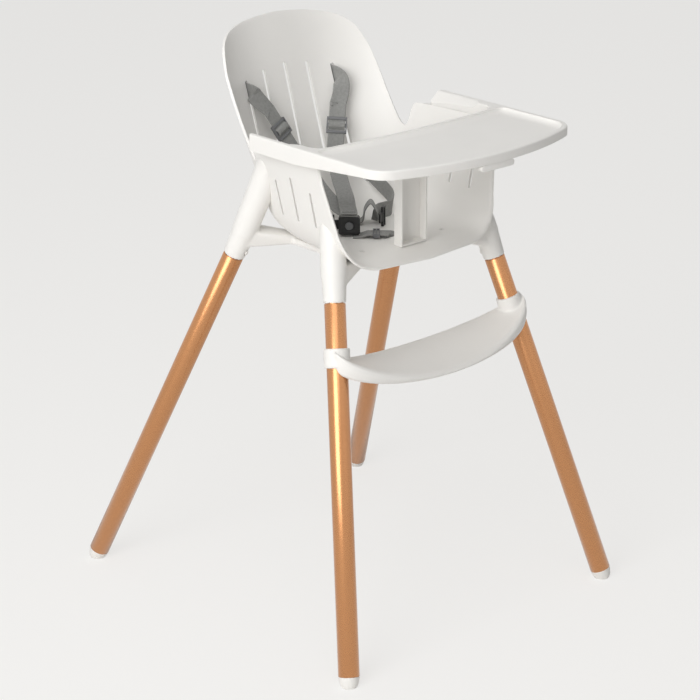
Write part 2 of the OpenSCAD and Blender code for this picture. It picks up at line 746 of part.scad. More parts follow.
module latch_bar(side) color(dark_plastic) mirror([side < 0 ? 1 : 0, 0, 0]) {
  hook_y = -66;
  hook_l = 20;
  hook_t = 2;
  hook_reach = 4;
  hook_z = flange_top - flange_t - gap - hook_t;
  translate([bar_inner_x, bar_y, bar_z]) cube([bar_side_x - bar_inner_x, bar_w, bar_t]);
  translate([bar_side_x - bar_w, bar_y, bar_z]) cube([bar_w, hook_y + hook_l - bar_y, bar_t]);
  translate([bar_side_x - hook_t, hook_y, hook_z]) cube([hook_t, hook_l, bar_z + bar_t - hook_z]);
  translate([bar_side_x - hook_t - hook_reach, hook_y, hook_z]) cube([hook_reach + 1, hook_l, hook_t]);
  translate([cam_pin_x, cam_pin_y, cam_plate_z]) cylinder(d = cam_pin_d, h = bar_z - cam_plate_z + 1);
}

module pill(w, h, l) translate([0, l, 0]) rotate([90, 0, 0]) linear_extrude(l) {
  square([w - h, h], center = true);
  for (s = [-1, 1]) translate([s * (w - h) / 2, 0]) circle(d = h);
}

module release_paddle() color(white) {
  plate_z = cam_plate_z - gap;
  stem_y = -tray_reach + paddle_deep / 2;
  difference() {
    union() {
      translate([0, paddle_inset - tray_reach, paddle_top - paddle_h / 2])
        pill(paddle_w, paddle_h, paddle_deep);
      translate([-stem_w / 2, stem_y, plate_z])
        cube([stem_w, spring_pin_y + spring_pin_d - stem_y, cam_plate_t]);
      translate([-cam_plate_w / 2, cam_pin_y - cam_plate_l / 2 + 3, plate_z])
        cube([cam_plate_w, cam_plate_l, cam_plate_t]);
      translate([0, spring_pin_y, spring_z - 2]) cylinder(d = spring_pin_d, h = plate_z - spring_z + 3);
    }
    for (s = [-1, 1]) cam_slot(s);
  }
}

// The slanted slot that pushes one bar outward as the paddle comes forward
module cam_slot(side) {
  a = [side * cam_pin_x, cam_pin_y];
  b = a + [side * latch_travel, paddle_travel];
  w = cam_pin_d + 2 * gap;
  translate([0, 0, cam_plate_z - 3]) linear_extrude(cam_plate_t + 5) hull()
    for (p = [a, b]) translate(p) circle(d = w, $fn = 32);
}

module release_spring() color(steel) {
  eye_r = spring_pin_d / 2 + gap;
  coil_end = spring_coil_y + spring_coil_l;
  translate([0, spring_coil_y, spring_z]) rotate([-90, 0, 0])
    ring(spring_r, spring_r - spring_wire, spring_coil_l);
  for (y = [spring_pin_y, spring_anchor_y])
    translate([0, y, spring_z - spring_wire / 2]) ring(eye_r + spring_wire, eye_r, spring_wire);
  for (e = [[spring_pin_y + eye_r + 0.3, spring_coil_y + 1], [coil_end - 1, spring_anchor_y - eye_r - 0.3]])
    translate([-spring_wire / 2, e[0], spring_z - spring_wire / 2])
      cube([spring_wire, e[1] - e[0], spring_wire]);
  for (y = [spring_coil_y, coil_end - spring_wire])
    translate([-spring_wire / 2, y, spring_z - spring_r + 0.4])
      cube([spring_wire, spring_wire, 2 * spring_r - 0.8]);
}

// ---------- Harness ----------
// A flat strap through points, each with the direction of its width
strap_steps = 4;
function smooth(p0, p1, p2, p3, t) =
  0.5 * (2 * p1 + (p2 - p0) * t + (2 * p0 - 5 * p1 + 4 * p2 - p3) * t ^ 2
         + (3 * p1 - p0 - 3 * p2 + p3) * t ^ 3);
function smoothed(p) = [
  for (i = [0:len(p) - 2], j = [0:strap_steps - 1])
    smooth(p[max(i - 1, 0)], p[i], p[i + 1], p[min(i + 2, len(p) - 1)], j / strap_steps),
  p[len(p) - 1]
];
module ribbon(path, w, t) {
  middle = smoothed([for (q = path) q[0]]);
  across = smoothed([for (q = path) unit(q[1])]);
  n = len(middle);
  sections = [
    for (i = [0:n - 1])
      let (
        a = unit(middle[min(i + 1, n - 1)] - middle[max(i - 1, 0)]),
        v = unit(cross(a, across[i])),
        x = cross(v, a),
        p = middle[i]
      )
      each [
        p - x * w / 2 - v * t / 2, p + x * w / 2 - v * t / 2,
        p + x * w / 2 + v * t / 2, p - x * w / 2 + v * t / 2
      ]
  ];
  last = 4 * (n - 1);
  polyhedron(sections, clockwise(concat(
    [for (i = [0:n - 2], j = [0:3]) let (k = 4 * i + j, k1 = 4 * i + (j + 1) % 4)
      each [[k, k1, k1 + 4], [k, k1 + 4, k + 4]]],
    [[3, 2, 1, 0], [last, last + 1, last + 2, last + 3]]
  )));
}

slot_x = 2 * back_vent_pitch;
strap_top_z = seat_height + back_vent_tops[2] - vent_w / 2 - strap_w / 2 - 1;
function slot_y(z) = back_y(z) - 14;

// Upper and lower ends of the straight stretch that carries each adjuster, and its width's direction
left_high = [-68, slot_y(strap_top_z) - 19, strap_top_z - 30];
left_low = [-37, slot_y(strap_top_z) - 44, strap_top_z - 96];
left_across = [1, 0.15, 0.1];
right_high = [77, slot_y(strap_top_z) - 21, strap_top_z - 43];
right_low = [47, slot_y(strap_top_z) - 46.5, strap_top_z - 117];
right_across = [1, -0.9, 0];
stretch_end = 5;
function stretch(high, low, across) = let (d = unit(low - high)) [
  [high, across], [high + stretch_end * d, across], [low - stretch_end * d, across], [low, across]
];

module shoulder_strap_left() color(webbing) ribbon([
  [[-slot_x, slot_y(strap_top_z) + 26, strap_top_z], [0, 0, 1]],
  [[-slot_x, slot_y(strap_top_z) + 16, strap_top_z], [0, 0, 1]],
  [[-slot_x, slot_y(strap_top_z) - 3, strap_top_z], [0, 0, 1]],
  [[-slot_x + 3, slot_y(strap_top_z) - 14, strap_top_z - 8], [0.35, 0.3, 0.9]],
  [[-slot_x + 12, slot_y(strap_top_z) - 18, strap_top_z - 20], [1, 0.5, 0.1]],
  each stretch(left_high, left_low, left_across),
  [[-40, 52, seat_height + 82], [1, 0.1, 0.05]],
  [[-44, 12, seat_height + 57], [1, -0.2, 0]],
  [[-46, -22, seat_height + 41.5], [0.9, -0.5, 0]],
  [[-47, -38, seat_height + 36.6], [0.8, -0.6, 0]],
  [[-48, -50, seat_height + 35.3], [1, -0.9, 0]],
  [[-54, -57, seat_height + 35.3], [1, -0.9, 0]]
], strap_w, strap_t);

module shoulder_strap_right() color(webbing) ribbon([
  [[slot_x, slot_y(strap_top_z) + 26, strap_top_z], [0, 0, 1]],
  [[slot_x, slot_y(strap_top_z) + 16, strap_top_z], [0, 0, 1]],
  [[slot_x, slot_y(strap_top_z) - 3, strap_top_z], [0, 0, 1]],
  [[slot_x - 1, slot_y(strap_top_z) - 14, strap_top_z - 8], [0.5, -0.45, 0.7]],
  [[slot_x - 6, slot_y(strap_top_z) - 19, strap_top_z - 26], [0.9, -0.7, 0.15]],
  each stretch(right_high, right_low, right_across),
  [[8.5, 35, seat_height + 65.5], [1, -0.9, 0]],
  [[-28, -20, seat_height + 54], [1, -0.9, 0]],
  [[-40, -38, seat_height + 43.5], [1, -0.9, 0]],
  [[-47, -49, seat_height + 39], [1, -0.9, 0]],
  [[-54, -57, seat_height + 38.6], [1, -0.9, 0]]
], strap_w, strap_t);

// The adjusters are sleeves with a window each side of a middle bar
adjuster_l = 27;
crotch_adjuster_l = 11;
crotch_adjuster_travel = 2;
module adjuster(high, low, across, l, travel) color(dark_plastic) {
  d = unit(low - high);
  v = unit(cross(d, across));
  u = cross(v, d);
  mid = high + d * (stretch_end + travel + l / 2);
  w = strap_w + 6;
  t = strap_t + 4;
  window = l / 4.5;
  multmatrix([
    [u[0], v[0], d[0], mid[0]], [u[1], v[1], d[1], mid[1]], [u[2], v[2], d[2], mid[2]], [0, 0, 0, 1]
  ]) difference() {
    cube([w, t, l], center = true);
    cube([strap_w + 1.6, strap_t + 1.2, l + 2], center = true);
    for (s = [-1, 1]) translate([0, 0, s * l / 4.4]) cube([strap_w + 1.6, t + 2, window], center = true);
  }
}

waist_tail_y = 98;
waist_stop_y = waist_tail_y - 6.5;
module waist_strap_left() color(webbing) ribbon([
  [[-waist_slot_x, waist_tail_y, waist_z], [0, 0, 1]],
  [[-waist_slot_x, waist_tail_y - 18, waist_z], [0, 0, 1]],
  [[-waist_slot_x, waist_tail_y - 32, waist_z], [0, 0, 1]],
  [[-95, 44, waist_z - 10], [0, -0.3, 1]],
  [[-89, 14, waist_z - 24], [0, -0.3, 1]],
  [[-80, -14, buckle_at[2] + 1], [0, 0, 1]],
  [[-72.2, -23, buckle_at[2]], [0, 0, 1]]
], strap_w, strap_t);

module waist_strap_right() color(webbing) ribbon([
  [[waist_slot_x, waist_tail_y, waist_z], [0, 0, 1]],
  [[waist_slot_x, waist_tail_y - 18, waist_z], [0, 0, 1]],
  [[waist_slot_x, waist_tail_y - 32, waist_z], [0, 0, 1]],
  [[98, 40, waist_z - 10], [0, -0.3, 1]],
  [[92, 4, waist_z - 24], [0, -0.3, 1]],
  [[72, -20, seat_height + 17.5], [0, -0.1, 1]],
  [[52, -22, seat_height + 16.6], [0, 0, 1]],
  [[41, -23, seat_height + 15], [0.35, 0.4, 0.85]],
  [[34, -29, seat_height + 11], [0.67, 0.74, 0.1]],
  [[31, -29.5, seat_height + 25], [0.67, 0.74, 0]],
  [[23, -23, seat_height + 43], [0.67, 0.74, 0]],
  [[14, -15.5, seat_height + 27], [0.67, 0.74, 0]],
  [[12, -14, seat_height + 8], [0.67, 0.74, 0]],
  [[6, -9, seat_height + 2.5], [0.67, 0.74, 0]]
], strap_w, strap_t);

// The crotch strap comes up through the seat, through its own adjuster, and lies under the buckle
crotch_near = [-7, crotch_slot_y + 8, seat_height + 5];
crotch_far = [-26.5, crotch_slot_y + 25.5, seat_height + 5];
crotch_across = [0.67, 0.74, 0];
module crotch_strap() color(webbing) ribbon([
  [[0, crotch_slot_y, seat_height - 16], [1, 0, 0]],
  [[0, crotch_slot_y, seat_height - 6], [1, 0, 0]],
  [[0, crotch_slot_y, seat_height + 1], [1, 0, 0]],
  [[-1.5, crotch_slot_y + 2.5, seat_height + 4.4], [0.85, 0.5, 0]],
  each stretch(crotch_near, crotch_far, crotch_across),
  [[-31.5, crotch_slot_y + 30, seat_height + 2.6], crotch_across],
  [[-35, crotch_slot_y + 33, seat_height + 1.5], crotch_across],
  [[-44, crotch_slot_y + 41, seat_height + 1.4], crotch_across]
], strap_w, strap_t);

buckle_w = 34;
buckle_h = 30;
buckle_t = 13;
buckle_at = [-47, -50, seat_height + 18];
buckle_turn = 42;
buckle_button_d = 13;

module at_buckle() translate(buckle_at) rotate([0, 0, -buckle_turn]) children();

module rounded_block(w, t, h, r) translate([0, t / 2, 0]) rotate([90, 0, 0]) linear_extrude(t) {
  square([w - 2 * r, h], center = true);
  square([w, h - 2 * r], center = true);
  for (x = [-1, 1], z = [-1, 1]) translate([x * (w / 2 - r), z * (h / 2 - r)]) circle(r);
}

module buckle_body() color(black_plastic) at_buckle() difference() {
  rounded_block(buckle_w, buckle_t, buckle_h, 5);
  translate([0, -buckle_t / 2 + 4.5, 0]) rotate([90, 0, 0])
    cylinder(d = buckle_button_d + 2 * pin_gap, h = 10);
  for (s = [-1, 1]) translate([s * buckle_w / 2, tongue_in_y, 0])
    cube([2 * tongue_slot_depth, tongue_blade_t + 2 * gap, tongue_blade_h + 2 * gap], center = true);
}

module buckle_button() color(dark_plastic) at_buckle()
  translate([0, -buckle_t / 2 + 4.5 - buckle_press - 0.4, 0]) rotate([90, 0, 0])
    cylinder(d = buckle_button_d, h = 4.5 - buckle_press + 0.6);

// The tongues at the ends of the waist webbing: a blade for the buckle and a loop for the strap
tongue_blade_l = 11;
tongue_blade_t = 2.6;
tongue_blade_h = 15;
tongue_loop_l = 11;
module tongue() color(black_plastic) difference() {
  union() {
    translate([0, -tongue_blade_t / 2, -tongue_blade_h / 2])
      cube([tongue_blade_l + 1, tongue_blade_t, tongue_blade_h]);
    translate([-tongue_loop_l, -strap_t, -strap_w / 2 - 2.5]) cube([tongue_loop_l, 2 * strap_t, strap_w + 5]);
  }
  translate([-tongue_loop_l + 3, -10, -strap_w / 2 - 0.5]) cube([4.5, 20, strap_w + 1]);
}
tongue_slot_depth = 6;
tongue_in_y = 2.5;
module waist_tongue_left() at_buckle()
  translate([-buckle_w / 2 + tongue_slot_depth - gap - tongue_blade_l - 1, tongue_in_y, 0]) tongue();
module waist_tongue_right()
  translate([24, -49, seat_height + 16.6]) rotate([0, 0, 207]) tongue();

// Plastic bars behind and below the shell that stop the straps pulling through
stop_w = 12;
stop_t = 3;
stop_tilt = 17;
module stop_bar() rotate([-stop_tilt, 0, 0]) difference() {
  cube([stop_w, stop_t, strap_w + 12], center = true);
  cube([strap_t + 2 * gap, stop_t + 2, strap_w + 3], center = true);
}
module strap_stops() color(dark_plastic) {
  for (s = [-1, 1]) {
    translate([s * slot_x, slot_y(strap_top_z) + 15.5, strap_top_z]) stop_bar();
    translate([s * waist_slot_x, waist_stop_y, waist_z]) stop_bar();
  }
  translate([0, crotch_slot_y, seat_height - shell_wall - gap - stop_t / 2]) difference() {
    cube([strap_w + 12, stop_w, stop_t], center = true);
    cube([strap_w + 2 * gap, strap_t + 2 * gap, stop_t + 2], center = true);
  }
}

seat_shell();
leg_frame();
frame_screws();
leg(front_foot, front_neck, -1);  // leg_front_left
leg(front_foot, front_neck, 1);  // leg_front_right
leg(rear_foot, rear_neck, -1);  // leg_rear_left
leg(rear_foot, rear_neck, 1);  // leg_rear_right
foot_cap(front_foot, front_neck, -1);  // foot_cap_front_left
foot_cap(front_foot, front_neck, 1);  // foot_cap_front_right
foot_cap(rear_foot, rear_neck, -1);  // foot_cap_rear_left
foot_cap(rear_foot, rear_neck, 1);  // foot_cap_rear_right
leg_button(front_foot, front_neck, -1);  // leg_button_front_left
leg_button(front_foot, front_neck, 1);  // leg_button_front_right
leg_button(rear_foot, rear_neck, -1);  // leg_button_rear_left
leg_button(rear_foot, rear_neck, 1);  // leg_button_rear_right
footrest();
footrest_screws();
tray();
tray_post();
tray_post_screws();
release_paddle();
release_spring();
latch_bar(-1);  // latch_bar_left
latch_bar(1);  // latch_bar_right
shoulder_strap_left();
shoulder_strap_right();
adjuster(left_high, left_low, left_across, adjuster_l, adjuster_travel);  // shoulder_adjuster_left
adjuster(right_high, right_low, right_across, adjuster_l, adjuster_travel);  // shoulder_adjuster_right
waist_strap_left();
waist_strap_right();
crotch_strap();
adjuster(crotch_near, crotch_far, crotch_across, crotch_adjuster_l, crotch_adjuster_travel);  // crotch_adjuster
waist_tongue_left();
waist_tongue_right();
buckle_body();
buckle_button();
strap_stops();
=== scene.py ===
import json
from math import sin, cos, asin, atan2, pi, radians, sqrt

import bpy
from mathutils import Matrix, Vector


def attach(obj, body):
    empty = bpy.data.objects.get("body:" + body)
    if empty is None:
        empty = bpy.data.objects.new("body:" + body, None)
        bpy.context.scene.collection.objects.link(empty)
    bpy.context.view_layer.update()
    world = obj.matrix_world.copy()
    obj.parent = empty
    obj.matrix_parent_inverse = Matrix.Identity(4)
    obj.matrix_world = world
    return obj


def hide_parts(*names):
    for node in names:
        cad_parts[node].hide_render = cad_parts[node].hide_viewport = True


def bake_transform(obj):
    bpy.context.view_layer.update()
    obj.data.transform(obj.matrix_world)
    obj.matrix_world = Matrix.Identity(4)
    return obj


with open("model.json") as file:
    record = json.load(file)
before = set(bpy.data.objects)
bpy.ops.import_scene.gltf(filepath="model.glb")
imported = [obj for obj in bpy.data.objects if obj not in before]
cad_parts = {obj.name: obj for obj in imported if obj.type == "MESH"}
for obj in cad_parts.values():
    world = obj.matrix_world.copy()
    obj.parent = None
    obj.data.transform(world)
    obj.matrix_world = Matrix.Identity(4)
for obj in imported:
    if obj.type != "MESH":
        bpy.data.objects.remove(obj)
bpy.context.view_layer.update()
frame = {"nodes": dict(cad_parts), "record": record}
mm = 0.001


def newObject(name, data):
    thing = bpy.data.objects.new(name, data)
    bpy.context.scene.collection.objects.link(thing)
    return thing


cameraView = {"azimuth": -41.923, "elevation": 20.432, "distance": 3.811, "target": (-0.0006, 0, 0.3881),
              "lens": 120.03}


def makeCamera(v):
    a, e = radians(v["azimuth"]), radians(v["elevation"])
    back = Vector((sin(a) * cos(e), -cos(a) * cos(e), sin(e)))
    data = bpy.data.cameras.new("camera")
    data.lens = v["lens"]
    camera = newObject("camera", data)
    camera.location = Vector(v["target"]) + back * v["distance"]
    camera.rotation_euler = (-back).to_track_quat("-Z", "Y").to_euler()
    bpy.context.scene.camera = camera


makeCamera(cameraView)
print("camera placed")


# helpers for modelling, all in mm
def deselectAll():
    bpy.ops.object.select_all(action="DESELECT")


def activate(piece):
    deselectAll()
    piece.hide_set(False)
    piece.select_set(True)
    bpy.context.view_layer.objects.active = piece


def settle(piece, name=None):
    # the place goes into the mesh, so the object sits at the origin
    activate(piece)
    bpy.ops.object.transform_apply(location=True, rotation=True, scale=True)
    if name:
        piece.name = piece.data.name = name
    return piece


def meshPiece(name, points, faces, edges=()):
    mesh = bpy.data.meshes.new(name)
    mesh.from_pydata([Vector(p) * mm for p in points], edges, faces)
    mesh.update()
    piece = newObject(name, mesh)
    activate(piece)
    return piece


def inEditMode(piece, *steps):
    # each step works on the whole mesh
    activate(piece)
    bpy.ops.object.mode_set(mode="EDIT")
    for step in steps:
        bpy.ops.mesh.select_all(action="SELECT")
        step()
    bpy.ops.object.mode_set(mode="OBJECT")
    return piece


def mergePoints(distance=0.01):
    bpy.ops.mesh.remove_doubles(threshold=distance * mm)


def facesOut():
    bpy.ops.mesh.normals_make_consistent(inside=False)


def shapeChosen(piece, kind, test, *steps):
    # the steps work on the faces, edges or vertices that pass the test
    parts = {"FACE": piece.data.polygons, "EDGE": piece.data.edges, "VERT": piece.data.vertices}
    for group in parts.values():
        group.foreach_set("select", [False] * len(group))
    for part in parts[kind]:
        part.select = bool(test(part))
    bpy.ops.object.mode_set(mode="EDIT")
    bpy.ops.mesh.select_mode(type=kind)
    for step in steps:
        step()
    bpy.ops.object.mode_set(mode="OBJECT")


def modify(piece, kind, **settings):
    activate(piece)
    modifier = piece.modifiers.new(kind.lower(), kind)
    for key, value in settings.items():
        setattr(modifier, key, value)
    bpy.ops.object.modifier_apply(modifier=modifier.name)
    return piece


def discard(*pieces):
    for piece in pieces:
        bpy.data.objects.remove(piece)


def combine(piece, other, operation="DIFFERENCE"):
    modify(piece, "BOOLEAN", object=other, operation=operation, solver="EXACT")
    discard(other)
    return piece


def joined(pieces):
    deselectAll()
    for piece in pieces:
        piece.select_set(True)
    bpy.context.view_layer.objects.active = pieces[0]
    bpy.ops.object.join()
    return settle(pieces[0])


def mergeDoubles(piece, distance=0.01):
    return inEditMode(piece, lambda: mergePoints(distance), facesOut)


def softenEdges(piece, width, angle=40):
    return modify(piece, "BEVEL", width=width * mm, segments=3, limit_method="ANGLE", angle_limit=radians(angle))


def smoothShade(piece, angle=40):
    activate(piece)
    bpy.ops.object.shade_smooth_by_angle(angle=radians(angle))
    return piece


def melt(piece, p):
    # melts hard joins into one moulding, as a mould maker would fillet them
    modify(piece, "REMESH", mode="VOXEL", voxel_size=p["voxel"] * mm)
    modify(piece, "SMOOTH", factor=0.5, iterations=p["smooth"])
    return modify(piece, "DECIMATE", ratio=p["keep"])


def prism(name, outline, low, high):
    # an outline in plan, raised from one height to another
    if sum(a[0] * b[1] - b[0] * a[1] for a, b in zip(outline, outline[1:] + outline[:1])) < 0:
        outline = outline[::-1]
    piece = meshPiece(name, [(x, y, low) for x, y in outline], [list(range(len(outline)))])
    rise = {"value": (0, 0, (high - low) * mm)}
    return inEditMode(piece, lambda: bpy.ops.mesh.extrude_region_move(TRANSFORM_OT_translate=rise), facesOut)


def loft(name, outlines):
    # a closed skin over outlines with equally many points, one behind the other
    n, last = len(outlines[0]), len(outlines) - 1
    faces = [(k * n + i, k * n + (i + 1) % n, (k + 1) * n + (i + 1) % n, (k + 1) * n + i)
             for k in range(last) for i in range(n)]
    ends = [list(range(n)), list(range(last * n, last * n + n))]
    return meshPiece(name, [p for outline in outlines for p in outline], faces + ends)


def block(name, low, high):
    # a box between two corners
    centre = [(a + b) / 2 * mm for a, b in zip(low, high)]
    deselectAll()
    bpy.ops.mesh.primitive_cube_add(size=1, location=centre)
    piece = bpy.context.object
    piece.scale = [(b - a) * mm for a, b in zip(low, high)]
    return settle(piece, name)


def standing(at, way):
    # a place, with Z turned to point the given way
    return Matrix.Translation(at * mm) @ way.to_track_quat("Z", "X").to_matrix().to_4x4()


def roundBar(name, a, b, radius, vertices=48, radiusEnd=None):
    # a cylinder or cone between two points
    a, b = Vector(a), Vector(b)
    deselectAll()
    bpy.ops.mesh.primitive_cone_add(vertices=vertices, radius1=radius * mm, depth=(b - a).length * mm,
                                    radius2=(radius if radiusEnd is None else radiusEnd) * mm)
    piece = bpy.context.object
    piece.matrix_world = standing((a + b) / 2, b - a)
    return settle(piece, name)


def turned(name, profile, a, b, steps=64):
    # spins a profile of (radius, height) round the line from a to b; its ends lie on that line
    piece = meshPiece(name, [(r, 0, z) for r, z in profile], [], [(i, i + 1) for i in range(len(profile) - 1)])
    inEditMode(piece, lambda: bpy.ops.mesh.spin(steps=steps, angle=2 * pi, center=(0, 0, 0), axis=(0, 0, 1)),
               lambda: mergePoints(0.02), facesOut)
    piece.matrix_world = standing(a, b - a)
    return settle(piece)


def copyOfNode(node, name):
    # a CAD node's triangles are loose: the copy is merged and its flat faces are joined
    mesh = frame["nodes"][node].data.copy()
    mesh.name = name
    return inEditMode(newObject(name, mesh), mergePoints,
                      lambda: bpy.ops.mesh.dissolve_limited(angle_limit=radians(1)))


def roundedCopy(node, name, width):
    # the CAD shape with its edges rounded as moulds and tools leave them
    return smoothShade(softenEdges(copyOfNode(node, name), width))


def camelName(node):
    words = node.split("_")
    return words[0] + "".join(word.capitalize() for word in words[1:])


def runAlong(points):
    # how far each point is from the first, along the line through them
    run = [0]
    for a, b in zip(points, points[1:]):
        run.append(run[-1] + (b - a).length)
    return run


# materials
def colour(code):
    # an sRGB hex value as linear light
    values = [int(code[i:i + 2], 16) / 255 for i in (1, 3, 5)]
    return [v / 12.92 if v < 0.04045 else ((v + 0.055) / 1.055) ** 2.4 for v in values] + [1]


def addNode(tree, kind, values=None, links=None, **settings):
    node = tree.nodes.new("ShaderNode" + kind)
    for key, value in settings.items():
        setattr(node, key, value)
    for key, value in (values or {}).items():
        node.inputs[key].default_value = value
    for key, source in (links or {}).items():
        tree.links.new(source, node.inputs[key])
    return node


def newMaterial(name, even):
    # even holds what is the same all over the surface
    material = bpy.data.materials.new(name)
    material.use_nodes = True
    tree = material.node_tree
    shader = tree.nodes["Principled BSDF"]
    for key, value in even.items():
        shader.inputs[key].default_value = value
    return material, tree, shader, addNode(tree, "TexCoord").outputs


def dress(tree, shader, p, tone, grain=None):
    # the tone drifts the colour from a to b; the grain moves the roughness and lifts the surface
    drift = addNode(tree, "Mix", {"A": colour(p["a"]), "B": colour(p["b"])}, {"Factor": tone}, data_type="RGBA")
    tree.links.new(drift.outputs["Result"], shader.inputs["Base Color"])
    if "roughness" in p:
        low, high = p["roughness"]
        spread = addNode(tree, "MapRange", {"To Min": low, "To Max": high}, {"Value": grain})
        tree.links.new(spread.outputs["Result"], shader.inputs["Roughness"])
    if "bump" in p:
        bump = addNode(tree, "Bump", {"Strength": p["bump"], "Distance": p["depth"] * mm}, {"Height": grain})
        tree.links.new(bump.outputs["Normal"], shader.inputs["Normal"])


# tone and grain are noise: the size of its specks in mm, its detail and its roughness
plastic = {"tone": (71.43, 2, 0.5), "depth": 0.15, "even": {"IOR": 1.49}}
surfaces = {
    # polypropylene, moulded with a fine spark-eroded grain: a soft satin sheen with broad highlights
    # the real grain is about 0.2 mm, drawn coarser so that it still breaks up the sheen
    "whitePolypropyleneSatin": {
        **plastic, "a": "#EEECE8", "b": "#F3F1ED", "grain": (0.9, 3, 0.6), "roughness": (0.38, 0.5),
        "bump": 0.06},
    # acetal, moulded with a slightly finer grain: a waxy, even sheen
    "greyAcetalMoulded": {
        **plastic, "a": "#626365", "b": "#707173", "grain": (0.6, 3, 0.6), "roughness": (0.36, 0.5),
        "bump": 0.1},
    "blackAcetalMoulded": {
        **plastic, "a": "#171718", "b": "#212122", "grain": (0.6, 3, 0.6), "roughness": (0.32, 0.46),
        "bump": 0.1},
    # aluminium tube, satin metallic powder coat: fine flakes, slight orange peel, lacquer with a pale streak
    "copperPowderCoatSatin": {
        "a": "#C08453", "b": "#C68B59", "tone": (6, 1, 0.5), "grain": (1, 2, 0.5), "roughness": (0.25, 0.3),
        "bump": 0.012, "depth": 0.1, "even": {"Metallic": 0.8, "Coat Weight": 0.6, "Coat Roughness": 0.2}},
    # zinc-plated steel: bright, slightly cloudy
    "zincPlatedSteel": {
        "a": "#B4B6B8", "b": "#C9CACB", "grain": (2.5, 3, 0.5), "roughness": (0.25, 0.42),
        "even": {"Metallic": 1}},
    # screw heads enamelled to match the seat: a smooth hard gloss with faint mottling
    "whiteEnamelledSteel": {
        "a": "#DEDCD8", "b": "#E6E4E0", "grain": (1.111, 2, 0.5), "roughness": (0.25, 0.35)},
    # bonded sewing thread: a soft shine along each twisted strand, a shade darker than the webbing
    "greyPolyesterThread": {
        "a": "#4A4A49", "b": "#626260", "grain": (0.625, 1, 0.5), "roughness": (0.5, 0.7),
        "even": {"Sheen Weight": 0.2}},
}


def speckledSurface(name, p):
    # the grain does for the tone where there is no tone of its own
    material, tree, shader, place = newMaterial(name, p.get("even", {}))
    noises = [addNode(tree, "TexNoise", {"Scale": 1 / (size * mm), "Detail": detail, "Roughness": rough},
                      {"Vector": place["Object"]}).outputs["Fac"]
              for size, detail, rough in (p[key] for key in ("tone", "grain") if key in p)]
    dress(tree, shader, p, noises[0], noises[-1])
    return material


webbingCloth = {"a": "#747472", "b": "#979794", "ribs": 1.7, "picks": 1.3, "fuzz": 3.846, "weaveShare": 0.6,
                "bump": 0.5, "depth": 0.3,
                "even": {"Roughness": 0.82, "Sheen Weight": 0.25, "Sheen Roughness": 0.5}}
# a wave texture of scale 1 repeats at this distance
waveLength = 0.05 * 2 * pi


def wovenWebbing(name, p):
    # polypropylene webbing: ribs along it crossed by weft picks, read from the strap's UV map in metres
    material, tree, shader, place = newMaterial(name, p["even"])
    ribs, picks = (addNode(tree, "TexWave", {"Scale": waveLength / (size * mm), "Distortion": waver, "Detail": 0},
                           {"Vector": place["UV"]}, bands_direction=way).outputs["Fac"]
                   for size, waver, way in ((p["ribs"], 0.3, "X"), (p["picks"], 0.6, "Y")))
    weave = addNode(tree, "Math", {}, {0: ribs, 1: picks}, operation="MULTIPLY").outputs[0]
    fuzz = addNode(tree, "TexNoise", {"Scale": 1 / (p["fuzz"] * mm), "Detail": 3}, {"Vector": place["Object"]})
    tone = addNode(tree, "Math", {1: p["weaveShare"]}, {0: weave, 2: fuzz.outputs["Fac"]},
                   operation="MULTIPLY_ADD")
    dress(tree, shader, p, tone.outputs[0], weave)
    return material


def cover(piece, material):
    piece.data.materials.clear()
    piece.data.materials.append(material)


def finish(piece, slot, body, *nodes, material=None):
    cover(piece, material or slotFinish[slot])
    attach(piece, body)
    if nodes:
        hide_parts(*nodes)


white, grey, black, copper, steel, coated, thread = (speckledSurface(name, p) for name, p in surfaces.items())
slotFinish = {"white_plastic": white, "dark_plastic": grey, "black_plastic": black, "copper_tube": copper,
              "steel": steel, "webbing": wovenWebbing("greyWovenWebbing", webbingCloth)}
# the CAD nodes, hidden or not, take the same finishes
for part in frame["record"]["subparts"]:
    cover(frame["nodes"][part["node"]], slotFinish[part["material_slot"]])
print("materials made")

# the seat shell: one moulded bucket with vent slots and armrest flanges
shell = {
    "seat": 605, "halfWidth": 149.5, "lip": 190, "depth": 276, "wall": 4, "armRise": 163, "backRise": 313,
    "sideLean": 0.22, "backLean": 0.315, "leanStop": 245, "bend": 50, "frontY": -157, "frontLean": 0.19,
    "columns": 260, "floorRows": 16, "bendRows": 12, "wallRows": 40, "edgeRound": 1.6,
    # the plan is a rounded square: its sine and cosine are raised to this power
    "planPower": 2 / 3,
    # the seat falls by lipDrop over lipRun to its front edge, lipHalf long to each side, which bows back by
    # lipBow, and by lipCorner in the corners
    "lipDrop": 14.5, "lipRun": 50, "lipHalf": 84, "lipBow": 6, "lipCorner": 14,
    # the outline that the columns are spaced along: its half width and its ends in y
    "spacing": (168, -144, 112),
    "flangeX": 195.5, "flangeThick": 4,
    # the front edge rolls outwards: how far in it starts, how long it is and how far it turns; it runs out
    # over fadeRun below the armrest
    "rollInset": 7, "rollSide": 9, "rollSideTurn": 72, "rollLip": 5, "rollLipTurn": 50, "rollSteps": 4,
    "fadeBelow": 34, "fadeRun": 28, "rollNear": 4,
}
seatZ = shell["seat"]
armZ = seatZ + shell["armRise"]
backZ = seatZ + shell["backRise"]
wallFoot = seatZ + shell["bend"]
backFoot = shell["depth"] - shell["lip"]
# the rim's height at each plan angle from the middle of the back
rimLine = [(a, top - drop) for top, points in (
    (backZ, ((0, 0), (15, 8), (25, 17), (31.4, 28), (35, 41), (40.6, 78), (44.8, 113), (48, 141))),
    (armZ, ((51.6, 18), (54, 32), (56.4, 37), (58.4, 28), (60, 12), (61.6, 2), (64, 0), (90, 0), (96, 0))),
) for a, drop in points]


